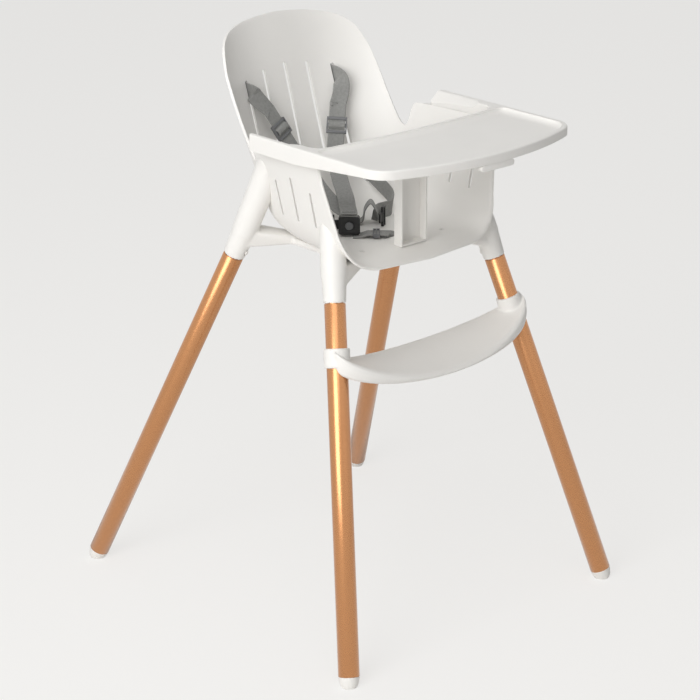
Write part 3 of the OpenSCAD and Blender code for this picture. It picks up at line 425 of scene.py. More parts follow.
def level(a, w, yFront, yBack):
    # a plan point at an angle, on an outline of a half width between two ends
    s, c, power = sin(radians(abs(a))), max(cos(radians(a)), 0), shell["planPower"]
    return w * (1 if a > 0 else -1) * s ** power, yFront + (yBack - yFront) * c ** power


def wallFront(z):
    return shell["frontY"] + shell["frontLean"] * (z - wallFoot)


def wallLine(a, z, out, inset=0):
    # a plan point of the wall at a height, moved outwards, and back from its front edge by the inset
    half = shell["halfWidth"] + shell["sideLean"] * min(z - seatZ, shell["leanStop"])
    return level(a, half + out, wallFront(z) + inset, backFoot + shell["backLean"] * (z - seatZ))


def seatPoint(x, y):
    run = shell["lipRun"]
    return Vector((x, y, seatZ - shell["lipDrop"] * (max(0, run - shell["lip"] - y) / run) ** 2))


def rimHeight(a):
    # a smooth curve through the points of the rim line
    a, i, last = abs(a), 0, len(rimLine) - 1
    while a > rimLine[i + 1][0] and i < last - 1:
        i += 1

    def slope(k):
        (x0, z0), (x1, z1) = rimLine[max(k - 1, 0)], rimLine[min(k + 1, last)]
        return (z1 - z0) / (x1 - x0)
    (x0, z0), (x1, z1) = rimLine[i], rimLine[i + 1]
    h = x1 - x0
    u = (a - x0) / h
    flat = 0 if z0 == z1 else 1
    return ((2 * u ** 3 - 3 * u ** 2 + 1) * z0 + (u ** 3 - 2 * u ** 2 + u) * h * slope(i) * flat
            + (3 * u ** 2 - 2 * u ** 3) * z1 + (u ** 3 - u ** 2) * h * slope(i + 1) * flat)


def wallPoint(a, z):
    return Vector((*wallLine(a, z, 0, shell["rollInset"]), z))


def evenAngles(count, steps=4000):
    # plan angles that space the columns evenly round the bucket
    fine = [-90 + 180 * i / steps for i in range(steps + 1)]
    run = runAlong([Vector(level(a, *shell["spacing"])) for a in fine])
    angles, k = [], 0
    for i in range(count + 1):
        want = run[-1] * i / count
        while k < len(run) - 2 and run[k + 1] < want:
            k += 1
        share = (want - run[k]) / max(run[k + 1] - run[k], 1e-9)
        angles.append(fine[k] + share * (fine[k + 1] - fine[k]))
    return angles


def shellGrid(columns, rowShare):
    # rows of points: back over the seat, round the bend and up the wall to the rim
    inner, front, bow = shell["halfWidth"] - shell["bend"], shell["rollInset"] - shell["lip"], shell["lipBow"]
    floor, bend, wall = (max(4, int(shell[k] * rowShare)) for k in ("floorRows", "bendRows", "wallRows"))
    grid = []
    for i, a in enumerate(evenAngles(columns)):
        lipX = shell["lipHalf"] * (2 * i / columns - 1)
        lip = Vector((lipX, front + bow * abs(lipX) / inner))
        edge = Vector(level(a, inner, front + bow, backFoot - shell["bend"]))
        corner = Vector(level(a, shell["halfWidth"], front + shell["lipCorner"], backFoot))
        p, q, r, rise = seatPoint(*edge), seatPoint(*corner), wallPoint(a, wallFoot), rimHeight(a) - wallFoot
        grid.append([seatPoint(*lip.lerp(edge, k / floor)) for k in range(floor)]
                    + [(1 - t) ** 2 * p + 2 * t * (1 - t) * q + t ** 2 * r
                       for t in (k / bend for k in range(bend))]
                    + [wallPoint(a, wallFoot + rise * k / wall) for k in range(wall + 1)])
    return list(zip(*grid))


def frontRoll(rows):
    # the front edge carried on in a roll: down at the seat's lip, outwards up the sides
    n, last, steps, near = len(rows[0]), len(rows) - 1, shell["rollSteps"], shell["rollNear"]
    ring = ([(r, 0) for r in range(last, 0, -1)] + [(0, c) for c in range(n)]
            + [(r, n - 1) for r in range(1, last + 1)])
    inside = {0: 1, n - 1: n - 2}
    ways = []
    for i, (r, c) in enumerate(ring):
        (ra, ca), (rb, cb) = ring[max(i - 1, 0)], ring[min(i + 1, len(ring) - 1)]
        run = (rows[rb][cb] - rows[ra][ca]).normalized()
        q = rows[max(r, 1)][inside.get(c, c)] - rows[r][c]
        outward = -(q - run * q.dot(run)).normalized()
        ways.append((outward, run.cross(outward).normalized()))
    points = []
    for i, (r, c) in enumerate(ring):
        p, around = rows[r][c], ways[max(i - near, 0):i + near + 1]
        outward, down = (sum((way[k] for way in around), Vector()).normalized() for k in (0, 1))
        lip = max(0, -down.z) ** 2
        fade = min(1, max(0, (p.z - (armZ - shell["fadeBelow"])) / shell["fadeRun"]))
        length = shell["rollSide"] + (shell["rollLip"] - shell["rollSide"]) * lip - 2 * fade
        turn = shell["rollSideTurn"] + (shell["rollLipTurn"] - shell["rollSideTurn"]) * lip
        turn = radians(turn) * (1 - 0.95 * fade)
        for k in range(1, steps + 1):
            t = turn * k / steps
            points.append(p + length / turn * (outward * sin(t) + down * (1 - cos(t))))

    def index(i, k):
        return ring[i][0] * n + ring[i][1] if k == 0 else (last + 1) * n + i * steps + k - 1
    return points, [(index(i, k), index(i + 1, k), index(i + 1, k + 1), index(i, k + 1))
                    for i in range(len(ring) - 1) for k in range(steps)]


def bucketSkin(name, columns, rowShare=1):
    rows = shellGrid(columns, rowShare)
    n = columns + 1
    faces = [(r * n + c, (r + 1) * n + c, (r + 1) * n + c + 1, r * n + c + 1)
             for r in range(len(rows) - 1) for c in range(columns)]
    points, roll = frontRoll(rows)
    return inEditMode(meshPiece(name, [p for row in rows for p in row] + points, faces + roll), mergePoints)


def slotCutter(width, length, depth, matrix):
    # a round bar, half of which is moved away to leave a slot with round ends
    deselectAll()
    bpy.ops.mesh.primitive_cylinder_add(vertices=24, radius=width / 2 * mm, depth=depth * mm)
    cutter = bpy.context.object
    shapeChosen(cutter, "VERT", lambda v: v.co.x > 0,
                lambda: bpy.ops.transform.translate(value=((length - width) * mm, 0, 0)))
    cutter.matrix_world = matrix
    return settle(cutter)


# how a slot's own axes (length, width, depth) lie in the back and in a side wall
slotTurns = {"back": Matrix(((0, 1, 0, 0), (0, 0, 1, 0), (1, 0, 0, 0), (0, 0, 0, 1))),
             "side": Matrix(((0, 0, 1, 0), (0, -1, 0, 0), (1, 0, 0, 0), (0, 0, 0, 1)))}


def slotAt(x, y, heights, width, depth, wall="back"):
    # an upright slot between two heights above the seat
    low, high = (seatZ + height for height in heights)
    place = Matrix.Translation(Vector((x, y, low + width / 2)) * mm) @ slotTurns[wall]
    return slotCutter(width, high - low, depth, place)


vents = {"back": 6.5, "width": 4.5, "backPitch": 45.5, "backFoot": 84, "backTops": (235, 230, 221),
         "backY": 130, "sidePitch": 43, "sideFoot": 50, "sideTops": (110, 124, 108), "sideFirst": -20,
         "sideX": 165, "waistX": 100, "waistY": 100, "waist": (34, 66), "crotchY": -96, "crotchLength": 30,
         # how deep the cutters reach
         "backCut": 200, "sideCut": 60, "crotchCut": 20}
screwHoles = {"x": 85, "y": (-122, -53, 0), "bore": 2.3, "head": 4.8, "sink": 2.6}


def makeShell(v, s):
    piece = bucketSkin("seatShell", shell["columns"])
    # the faces point away from the child, and the wall grows that way
    modify(piece, "SOLIDIFY", thickness=shell["wall"] * mm, offset=1)
    softenEdges(piece, shell["edgeRound"], 55)
    cutters = []
    for side in (-1, 1):
        for i in range(3):
            if i or side > 0:
                heights = (v["backFoot"], v["backTops"][i])
                cutters.append(slotAt(side * i * v["backPitch"], v["backY"], heights, v["back"], v["backCut"]))
            cutters.append(slotAt(side * v["sideX"], v["sideFirst"] - i * v["sidePitch"],
                                  (v["sideFoot"], v["sideTops"][i]), v["width"], v["sideCut"], "side"))
        cutters.append(slotAt(side * v["waistX"], v["waistY"], v["waist"], v["width"], v["backCut"]))
    crotch = Matrix.Translation(Vector(((v["width"] - v["crotchLength"]) / 2, v["crotchY"], seatZ)) * mm)
    cutters.append(slotCutter(v["width"], v["crotchLength"], v["crotchCut"], crotch))
    for side in (-1, 1):
        for y in s["y"]:
            x = side * s["x"]
            cutters.append(roundBar("bore", (x, y, seatZ - 12), (x, y, seatZ - 2), s["bore"], 24))
            cutters.append(roundBar("head", (x, y, seatZ - s["sink"]), (x, y, seatZ + 9), s["head"], 32))
    combine(piece, joined(cutters))
    for side in (-1, 1):
        combine(piece, makeFlange(side), "UNION")
    return smoothShade(piece, 32)


def makeFlange(side):
    # the top of an armrest, which the tray slides on; it runs out into the wall at its back
    z = armZ - 0.5
    edge = [wallLine(a, z, 2) for a in range(90, 63, -2)]
    x, front, (endX, back) = shell["flangeX"], wallFront(z), edge[-1]
    outline = edge + [(endX + 3, back - 0.5), (endX + 9, back - 4), (x - 5, back - 12), (x - 1, back - 22),
                      (x, back - 32), (x, front + 6), (x - 2, front)]
    piece = prism("flange", [(side * px, py) for px, py in outline], z - shell["flangeThick"], z)
    return softenEdges(piece, 1, 50)


finish(makeShell(vents, screwHoles), "white_plastic", "chair", "seat_shell")
print("seat shell made")

# legs and foot caps
legs = {"diameter": 33, "neck": 29, "neckLength": 50,
        "foot": {"Front": (282, -311, 15), "Rear": (294.5, 311, 15)},
        "top": {"Front": (171.5, -156, 549), "Rear": (179.5, 75.5, 573)}}
capProfile = [(0, -21), (4, -20.8), (7.5, -20), (10.5, -18), (12.4, -15.6), (13.8, -12.5), (14.8, -9),
              (15.4, -6), (15.9, -3.2), (16.2, -1.6), (16.1, -0.8), (15.6, -0.3), (14.7, -0.3), (14.7, 12.5),
              (13.2, 14), (0, 14)]
corners = [(end, side, hand) for end in ("Front", "Rear") for side, hand in ((-1, "Left"), (1, "Right"))]


def flipped(point, side):
    return Vector((side * point[0], point[1], point[2]))


def legLine(end, side):
    return flipped(legs["foot"][end], side), flipped(legs["top"][end], side)


def makeLeg(name, foot, top):
    length, radius, neck = (top - foot).length, legs["diameter"] / 2, legs["neck"] / 2
    tip = length + legs["neckLength"]
    profile = [(0, 3), (13, 3), (15, 2), (15.1, 0.4), (15.5, 0), (radius - 0.3, 0), (radius, 0.4),
               (radius, length - 0.6), (radius - 0.5, length), (neck, length),
               (neck, tip - 2), (neck - 1.5, tip), (0, tip)]
    return smoothShade(turned(name, profile, foot, top, 96))


def makeCap(name, foot, top):
    # a rounded plug, cut flat where it stands on the floor
    return smoothShade(inEditMode(turned(name, capProfile, foot, top), lambda: bpy.ops.mesh.bisect(
        plane_co=(0, 0, 0), plane_no=(0, 0, -1), use_fill=True, clear_outer=True)))


for end, side, hand in corners:
    tag, line = f"{end}_{hand}".lower(), legLine(end, side)
    finish(makeLeg(f"leg{end}{hand}", *line), "copper_tube", "chair", f"leg_{tag}")
    finish(makeCap(f"footCap{end}{hand}", *line), "white_plastic", "chair", f"foot_cap_{tag}")
print("legs and caps made")

# the frame under the seat; its four horns are carried on up to the armrests
legFrame = {"voxel": 1.9, "smooth": 6, "keep": 0.7, "hornFoot": 42, "radius": 20.2,
            "reach": {"Front": 178, "Rear": 205}, "tip": {"Front": 19.4, "Rear": 22.5},
            # how far a horn leans outwards and back on its way up
            "lean": {"Front": (0, 0), "Rear": (5.952, 5.344)},
            # a thick copy of the bucket trims the horns this deep inside its wall
            "sink": 2.6, "trim": 10, "trimColumns": 110, "trimRows": 0.5}


def makeHorn(p, end, side, skin):
    # a socket carried on up the leg's axis until the side of the bucket swallows it
    foot, top = legLine(end, side)
    up = (top - foot).normalized()
    tip = top + up * p["reach"][end] + flipped((*p["lean"][end], 0), side)
    horn = roundBar("horn", top + up * p["hornFoot"], tip, p["radius"], 64, p["tip"][end])
    combine(horn, newObject("trim", skin.data.copy()))
    inEditMode(horn, lambda: bpy.ops.mesh.separate(type="LOOSE"))
    parts = sorted(bpy.context.selected_objects, key=lambda o: min(v.co.z for v in o.data.vertices))
    discard(*parts[1:])
    return parts[0]


def makeFrame(p):
    skin = bucketSkin("skin", p["trimColumns"], p["trimRows"])
    modify(skin, "SOLIDIFY", thickness=p["trim"] * mm, offset=2 * p["sink"] / p["trim"] - 1)
    parts = [copyOfNode("leg_frame", "legFrame")] + [makeHorn(p, end, side, skin) for end, side, hand in corners]
    discard(skin)
    piece = melt(joined(parts), p)
    bpy.ops.object.shade_smooth()
    return piece


finish(makeFrame(legFrame), "white_plastic", "chair", "leg_frame")
print("frame made")

# the footrest: a bowed platform that hangs from a collar on each front leg
footrest = {"height": 485, "collar": 30, "wall": 3.5, "thick": 9, "slices": 64, "gap": 0.3, "drop": 20,
            "overlap": 14, "voxel": 1.5, "smooth": 4, "keep": 0.6,
            # each line along the platform: its place at the collars, its way to the middle, and how fast
            "back": (4, 34, 0.6), "front": (-10, -60, 0.45),
            "top": (22, -46, 0.5), "ridge": (21, -60, 0.75), "low": (-10, -38, 0.6)}
frontFoot, frontTop = legLine("Front", 1)
frontAxis = (frontTop - frontFoot).normalized()
collarTop = frontFoot + frontAxis * ((footrest["height"] - frontFoot.z) / frontAxis.z)


def footrestSlice(turn):
    # a cross-section of the platform; turn runs from -90 at the left collar to 90 at the right
    u, k = sin(radians(turn)), max(cos(radians(turn)), 0) ** 2
    at, t = collarTop - frontAxis * footrest["drop"], footrest["thick"]

    def line(name, start):
        place, move, power = footrest[name]
        return start + place + move * k ** power
    back, front = line("back", at.y), line("front", at.y)
    top, ridge, low = line("top", at.z), line("ridge", at.z), line("low", at.z)
    middle, midTop, s = (back + front) / 2, (top + ridge) / 2, min(1, (back - front) / 50)
    section = [(back, top - t), (back, top - 3), (back - 2 * s, top - 0.5), (back - 6 * s, top),
               (middle, midTop), (front + 8 * s, ridge + 1), (front + 2 * s, ridge - 3), (front, (ridge + low) / 2),
               (front + 2 * s, low + 3), (front + 7 * s, low), (front + 12 * s, low + 2),
               (front + 14 * s, ridge + 3 - t), (middle, midTop - t)]
    return [(u * (at.x + footrest["overlap"]), y, z) for y, z in section]


def makeFootrest(p):
    platform = loft("bowedFootrest", [footrestSlice(180 * i / p["slices"] - 90) for i in range(p["slices"] + 1)])
    parts = [mergeDoubles(platform)]
    radius = legs["diameter"] / 2 + p["gap"]
    r, l = radius + p["wall"], p["collar"]
    profile = [(0, 0), (radius, 0), (r - 0.9, 0.3), (r, 1.6), (r, l - 1.6), (r - 0.9, l - 0.3),
               (radius, l), (0, l)]
    lines = [(flipped(collarTop, side), flipped(-frontAxis, side)) for side in (-1, 1)]
    for top, down in lines:
        parts.append(turned("collar", profile, top, top + down))
    piece = melt(joined(parts), p)
    for top, down in lines:
        combine(piece, roundBar("bore", top - down * 30, top + down * 90, radius, 64))
    return smoothShade(piece, 50)


finish(makeFootrest(footrest), "white_plastic", "chair", "footrest")
print("footrest made")

# the tray
tray = {"halfWidth": 206, "reach": 328.5, "bow": 500, "corner": 45, "armBack": 5, "top": 789, "dish": 7,
        "floor": 3, "rimHeight": 14, "rimWidth": 8.6, "armWidth": 20, "skirt": 763, "belly": -133, "sag": 9,
        "armRound": 7, "crown": 2.8, "innerCorner": 26, "dishCorner": 12, "wall": 2.2,
        # the dish falls from the rim in a soft cove: how far in and how far down
        "cove": ((0, 0.4), (0.8, 1.7), (2, 3), (3.6, 4.2), (5.6, 5.2), (8.2, 6.1), (11.4, 6.7), (15.4, 7)),
        # the arm's inner face follows the bucket's wall, from armFront to the arm's end, at these plan angles
        "armFront": -96, "armAngles": (84, 81, 78, 75, 73, 71, 69.5),
        # it slants from the rail on the arm's top to that wall
        "railX": 198, "slantFrom": -122, "slantFull": -84, "slantLift": 22,
        # where the side skirts start to rise
        "skirtRise": -105,
        # how far the cutters reach beyond the tray
        "clear": 10}
armInner = tray["halfWidth"] - tray["armWidth"]
bowY = tray["bow"] - tray["reach"]
cornerX = tray["halfWidth"] - tray["corner"]
cornerY = bowY - sqrt((tray["bow"] - tray["corner"]) ** 2 - cornerX ** 2)
cornerTurn = atan2(cornerY - bowY, cornerX)


def arc(cx, cy, r, a0, a1, n):
    return [(cx + r * cos(a0 + (a1 - a0) * i / n), cy + r * sin(a0 + (a1 - a0) * i / n)) for i in range(n + 1)]


def mirroredBack(points):
    return [(-x, y) for x, y in points[::-1]]


def roundCorner(a, corner, b, steps=10):
    # a round turn from a to b
    shares = [i / steps for i in range(steps)]
    return [tuple((1 - t) ** 2 * p + 2 * t * (1 - t) * q + t * t * r for p, q, r in zip(a, corner, b))
            for t in shares]


def frontOutline(d):
    # each outline can be drawn a distance d inside the tray's edge
    corner = arc(cornerX, cornerY, tray["corner"] - d, 0, cornerTurn, 14)
    front = arc(0, bowY, tray["bow"] - d, cornerTurn, -pi - cornerTurn, 40)
    return corner + front[1:-1] + mirroredBack(corner)


def bellyLine(d, cut=0):
    # the child's side of the tray; cut leaves room at both ends for a round corner
    w, sag = armInner - d, tray["sag"]
    r = (w * w + sag ** 2) / (2 * sag)
    a, low = asin((w - cut) / r), tray["belly"] - sag + r - d
    return [(r * sin(a * (i / 12 - 1)), low - r * cos(a * (i / 12 - 1))) for i in range(25)]


def mainOutline(d, corner=0):
    w, y = tray["halfWidth"] - d, tray["belly"] - d
    if not corner:
        return [(w, y)] + frontOutline(d) + [(-w, y)] + bellyLine(d)
    turn = roundCorner((-w, y - corner), (-w, y), (corner - w, y))
    return mirroredBack(turn) + frontOutline(d) + turn + bellyLine(d)


def wholeOutline():
    # the tray and its two arms in one line
    w, back, r, c = tray["halfWidth"], tray["armBack"], tray["armRound"], tray["innerCorner"]
    wall = [wallLine(a, armZ, 0.5) for a in tray["armAngles"]]
    arm = [(armInner, tray["armFront"])] + wall + [(wall[-1][0] + 2, back - 1), (wall[-1][0] + 5, back)]
    arm += arc(w - r, back - r, r, pi / 2, 0, 8)
    belly, end = bellyLine(0, c), bellyLine(0)[0]
    turn = roundCorner((-armInner, end[1] + c), end, belly[0])
    return arm + frontOutline(0) + mirroredBack(arm) + turn + belly + mirroredBack(turn)


def armSlant(side):
    # the cut above an arm's slanted inner face: it comes down from above the tray to the full slant
    x, z, low, over = tray["railX"], tray["top"], armZ + 1.1, tray["top"] + 26
    profile = [(x - 55, over), (x - 55, low), (x - 23, low), (x - 3.5, z - 2.3), (x - 2, z - 1.1),
               (x - 0.2, z - 0.35), (x + 2, z + 0.1), (x + 4, z + 0.3), (x + 4, over)]
    stages = ((tray["slantFrom"], tray["slantLift"]), (tray["slantFull"], 0),
              (tray["armBack"] + tray["clear"], 0))
    return mergeDoubles(loft("slant", [[(side * px, y, pz + lift) for px, pz in profile] for y, lift in stages]))


def makeDish(t):
    # the dish: outlines one below the other, each further in, bridged into a cove
    rim = t["rimWidth"]
    depths = [(rim - 0.3, t["top"] + 12)] + [(rim + inwards, t["top"] - drop) for inwards, drop in t["cove"]]
    loops = [[(x, y, z) for x, y in mainOutline(d, max(4, t["dishCorner"] - 0.4 * (d - rim)))] for d, z in depths]
    n = len(loops[0])
    edges = [(k * n + i, k * n + (i + 1) % n) for k in range(len(loops)) for i in range(n)]
    return inEditMode(meshPiece("dish", [p for loop in loops for p in loop], [], edges),
                      bpy.ops.mesh.bridge_edge_loops, lambda: bpy.ops.mesh.fill_holes(sides=0), facesOut)


def makeTray(t):
    top, deep, far = t["top"], t["skirt"] - t["clear"], t["halfWidth"] - t["wall"]
    under = top - t["rimHeight"]
    piece = prism("feedingTray", wholeOutline(), t["skirt"], top)
    # the top's outer edge is rounded
    heights = [v.co.z / mm for v in piece.data.vertices]
    shapeChosen(piece, "EDGE", lambda edge: min(heights[i] for i in edge.vertices) > top - 0.1,
                lambda: bpy.ops.mesh.bevel(offset=t["crown"] * mm, segments=7, affect="EDGES",
                                           clamp_overlap=True))
    # below the rim only the arms keep their skirts, which rise towards the front
    rise, low = t["skirtRise"], t["skirt"] - 20
    wedge = [(rise, t["skirt"]), (rise, low), (-400, low), (-400, under), (cornerY, under)]
    combine(piece, mergeDoubles(loft("wedge", [[(x, y, z) for y, z in wedge] for x in (-240, 240)])))
    # the hollow under the floor, the two inside each arm and the room for the armrest
    combine(piece, prism("hollow", mainOutline(t["wall"]), deep, top - t["dish"] - t["floor"]))
    for side in (-1, 1):
        for xs, grow, height in (((armInner + 3, far), (-8, -5), armZ + 4),
                                 ((t["railX"] - 1, far), (-8, -5), top - 5),
                                 ((armInner - 30, armInner + 3.5), (3, 2), armZ + 0.3)):
            low, high = sorted(side * x for x in xs)
            ends = t["belly"] + grow[0], t["armBack"] + grow[1]
            combine(piece, block("hollow", (low, ends[0], deep), (high, ends[1], height)))
    # the floor between the side skirts stops at the rim's own depth
    combine(piece, block("hollow", (-armInner, t["belly"] - 40, deep), (armInner, t["belly"] + 40, under)))
    combine(piece, makeDish(t))
    for side in (-1, 1):
        combine(piece, armSlant(side))
    return smoothShade(piece, 30)


finish(makeTray(tray), "white_plastic", "tray_unit", "tray")
print("tray made")

# the post between the child's legs
post = {"width": 54, "depth": 17, "front": -149, "foot": 605.5, "top": 774.7, "wall": 3, "lip": 24,
        "lipThick": 4, "round": 0.8}


def makePost(p):
    # a channel open to the front, with a foot plate and a top plate that is screwed under the tray
    x, front, top = p["width"] / 2, p["front"], p["top"]
    piece = block("trayPost", (-x, front, p["foot"]), (x, front + p["depth"], top))
    push = {"value": (0, (p["depth"] - p["wall"]) * mm, 0)}
    shapeChosen(piece, "FACE", lambda face: face.normal.y < -0.9,
                lambda: bpy.ops.mesh.inset(thickness=p["wall"] * mm),
                lambda: bpy.ops.mesh.extrude_region_move(TRANSFORM_OT_translate=push))
    combine(piece, block("lip", (-x, front - p["lip"], top - p["lipThick"]), (x, front + 4, top)), "UNION")
    return smoothShade(mergeDoubles(softenEdges(mergeDoubles(piece), p["round"], 50), 0.03), 35)


finish(makePost(post), "white_plastic", "tray_unit", "tray_post")
print("post made")

# the harness: webbing ribbons, adjusters and buckle
harness = {"width": 27, "thick": 2, "steps": 8, "selvedge": 2.6, "dip": 0.28, "slotX": 91, "slotY": 136.34,
           "topZ": 809.25, "waistX": 100, "waistZ": 655}
hx, hy, hz = harness["slotX"], harness["slotY"], harness["topZ"]
# directions of a strap's width
upright, slanting, crotchWay = (0, 0, 1), (1, -0.9, 0), (0.67, 0.74, 0)
# the straight run that carries each adjuster: its two ends and the direction of its width
adjusterRuns = {
    "Left": ((-68, hy - 19, hz - 30), (-37, hy - 44, hz - 96), (1, 0.15, 0.1)),
    "Right": ((77, hy - 21, hz - 43), (47, hy - 46.5, hz - 117), slanting),
    "Crotch": ((-7, -88, seatZ + 5), (-26.5, -70.5, seatZ + 5), crotchWay),
}


def adjusterRun(name):
    high, low, across = adjusterRuns[name]
    high, low = Vector(high), Vector(low)
    d = (low - high).normalized()
    return [(high, across), (high + 5 * d, across), (low - 5 * d, across), (low, across)]


def throughSlot(x, z, *ys):
    return [((x, y, z), upright) for y in ys]


straps = {
    # each point of a strap with the direction of its width
    "shoulder_strap_left": [
        *throughSlot(-hx, hz, hy + 26, hy + 16, hy - 3),
        ((5 - hx, hy - 8.5, hz - 8), (0.3, 0.1, 0.93)), ((14 - hx, hy - 14, hz - 19), (0.75, 0.15, 0.6)),
        *adjusterRun("Left"),
        ((-40, 52, seatZ + 82), (1, 0.1, 0.05)), ((-44, 12, seatZ + 57), (1, -0.2, 0)),
        ((-46, -22, seatZ + 41.5), (0.9, -0.5, 0)), ((-47, -38, seatZ + 36.6), (0.8, -0.6, 0)),
        ((-48, -50, seatZ + 35.3), slanting), ((-54, -57, seatZ + 35.3), slanting)],
    "shoulder_strap_right": [
        *throughSlot(hx, hz, hy + 26, hy + 16, hy - 3),
        ((hx - 1, hy - 14, hz - 8), (0.5, -0.45, 0.7)), ((hx - 6, hy - 19, hz - 26), (0.9, -0.7, 0.15)),
        *adjusterRun("Right"),
        ((8.5, 35, seatZ + 65.5), slanting), ((-28, -20, seatZ + 54), slanting),
        ((-40, -38, seatZ + 43.5), slanting), ((-47, -49, seatZ + 39), slanting),
        ((-54, -57, seatZ + 38.6), slanting)],
    "waist_strap_left": [
        *throughSlot(-harness["waistX"], harness["waistZ"], 98, 80, 66),
        ((-95, 44, 645), (0, -0.3, 1)), ((-89, 14, 631), (0, -0.3, 1)), ((-80, -14, 624), upright),
        ((-72.2, -23, 623), upright)],
    "waist_strap_right": [
        *throughSlot(harness["waistX"], harness["waistZ"], 98, 80, 66),
        ((98, 40, 645), (0, -0.3, 1)), ((92, 4, 631), (0, -0.3, 1)), ((72, -20, seatZ + 17.5), (0, -0.1, 1)),
        ((52, -22, seatZ + 16.6), upright), ((41, -23, seatZ + 15), (0.35, 0.4, 0.85)),
        ((34, -29, seatZ + 11), (0.67, 0.74, 0.1)), ((30, -28.5, seatZ + 23), crotchWay),
        ((23.5, -23, seatZ + 36), crotchWay), ((16.5, -17, seatZ + 25), crotchWay),
        ((14, -15, seatZ + 8), crotchWay), ((7, -9.5, seatZ + 2.5), crotchWay)],
    "crotch_strap": [
        ((0, -96, seatZ - 16), (1, 0, 0)), ((0, -96, seatZ - 6), (1, 0, 0)), ((0, -96, seatZ + 1), (1, 0, 0)),
        ((-1.5, -93.5, seatZ + 4.4), (0.85, 0.5, 0)), *adjusterRun("Crotch"),
        ((-31.5, -66, seatZ + 2.6), crotchWay), ((-35, -63, seatZ + 1.5), crotchWay),
        ((-44, -55, seatZ + 1.4), crotchWay)],
}


def smoothed(points, steps):
    # a curve through the points, as the CAD draws it
    result = []
    for i in range(len(points) - 1):
        p0, p1, p2, p3 = (points[min(max(i + k, 0), len(points) - 1)] for k in (-1, 0, 1, 2))
        for t in (j / steps for j in range(steps)):
            result.append(0.5 * (2 * p1 + (p2 - p0) * t + (2 * p0 - 5 * p1 + 4 * p2 - p3) * t ** 2
                                 + (3 * p1 - p0 - 3 * p2 + p3) * t ** 3))
    return result + [points[-1]]


def ribbonFrames(path, steps):
    # along the strap: its middle, the way across and the way out of its face
    middle = smoothed([Vector(q[0]) for q in path], steps)
    across = smoothed([Vector(q[1]).normalized() for q in path], steps)
    frames = []
    for i, p in enumerate(middle):
        a = (middle[min(i + 1, len(middle) - 1)] - middle[max(i - 1, 0)]).normalized()
        v = a.cross(across[i]).normalized()
        frames.append((p, v.cross(a), v))
    return frames


def makeRibbon(name, path, steps):
    # flat webbing with round edges and a slightly thicker selvedge; its UV map is its flat size in metres
    w, t, s, dip = harness["width"] / 2, harness["thick"] / 2, harness["selvedge"], harness["dip"]
    edge = [(w, 0), (w - 0.35, 0.72 * t), (w - 0.9, t), (w - s, t), (w - s - 1, t - dip)]
    half = [(-x, y) for x, y in edge] + [(0, t - dip)] + edge[:0:-1]
    section = half + [(-x, -y) for x, y in half]
    frames = ribbonFrames(path, steps)
    piece = loft(name, [[p + x * u + v * h for u, h in section] for p, x, v in frames])
    run = runAlong([p for p, x, v in frames])
    layer = piece.data.uv_layers.new(name="flat")
    for loop in piece.data.loops:
        i, j = divmod(loop.vertex_index, len(section))
        layer.data[loop.index].uv = (section[j][0] * mm, run[i] * mm)
    return smoothShade(inEditMode(piece, facesOut), 45)


for node, path in straps.items():
    finish(makeRibbon(camelName(node), path, harness["steps"]), "webbing", "chair", node)
print("webbing made")

stitch = {"long": 2.6, "wide": 0.55, "high": 0.3, "pitch": 3.1, "rows": 3, "rowGap": 2.6, "lift": 0.1,
          "margin": 5}
sewnEnds = {
    # strap, and how far along it the sewing starts (below nought: from its end)
    "sewingShoulderRight": ("shoulder_strap_right", -10), "sewingShoulderLeft": ("shoulder_strap_left", -10),
    "sewingWaistLeft": ("waist_strap_left", -16), "sewingWaistRight": ("waist_strap_right", 172),
}


def makeSewing(name, strap, start):
    # rows of thread across the strap, each stitch a low flat lozenge half sunk in the weave
    frames = ribbonFrames(straps[strap], 24)
    run = runAlong([p for p, x, v in frames])
    begin = start if start > 0 else run[-1] + start
    l, w, h = stitch["long"] / 2, stitch["wide"] / 2, stitch["high"]
    lozenge = [(-l, 0, 0), (-l * 0.6, -w, 0), (l * 0.6, -w, 0), (l, 0, 0), (l * 0.6, w, 0), (-l * 0.6, w, 0),
               (-l * 0.5, 0, h), (l * 0.5, 0, h), (-l * 0.5, 0, -h), (l * 0.5, 0, -h)]
    sides = [(0, 1, 6), (1, 2, 7, 6), (2, 3, 7), (3, 4, 7), (4, 5, 6, 7), (5, 0, 6),
             (1, 0, 8), (2, 1, 8, 9), (3, 2, 9), (4, 3, 9), (5, 4, 9, 8), (0, 5, 8)]
    points, faces = [], []
    count = int((harness["width"] - stitch["margin"]) / stitch["pitch"])
    for row in range(stitch["rows"]):
        at = begin + row * stitch["rowGap"]
        p, x, v = frames[min(range(len(run)), key=lambda k: abs(run[k] - at))]
        a = x.cross(v)
        for k in range(count):
            u = (k - (count - 1) / 2) * stitch["pitch"]
            centre = p + x * u + v * (harness["thick"] / 2 - harness["dip"] + stitch["lift"])
            faces += [tuple(len(points) + j for j in f) for f in sides]
            points += [centre + x * q[0] + a * q[1] + v * q[2] for q in lozenge]
    return smoothShade(inEditMode(meshPiece(name, points, faces), facesOut), 50)


for name, (strap, start) in sewnEnds.items():
    finish(makeSewing(name, strap, start), "webbing", "chair", material=thread)
print("sewing made")

adjuster = {"half": 13.5, "travel": 18, "lead": 5, "round": 0.55}


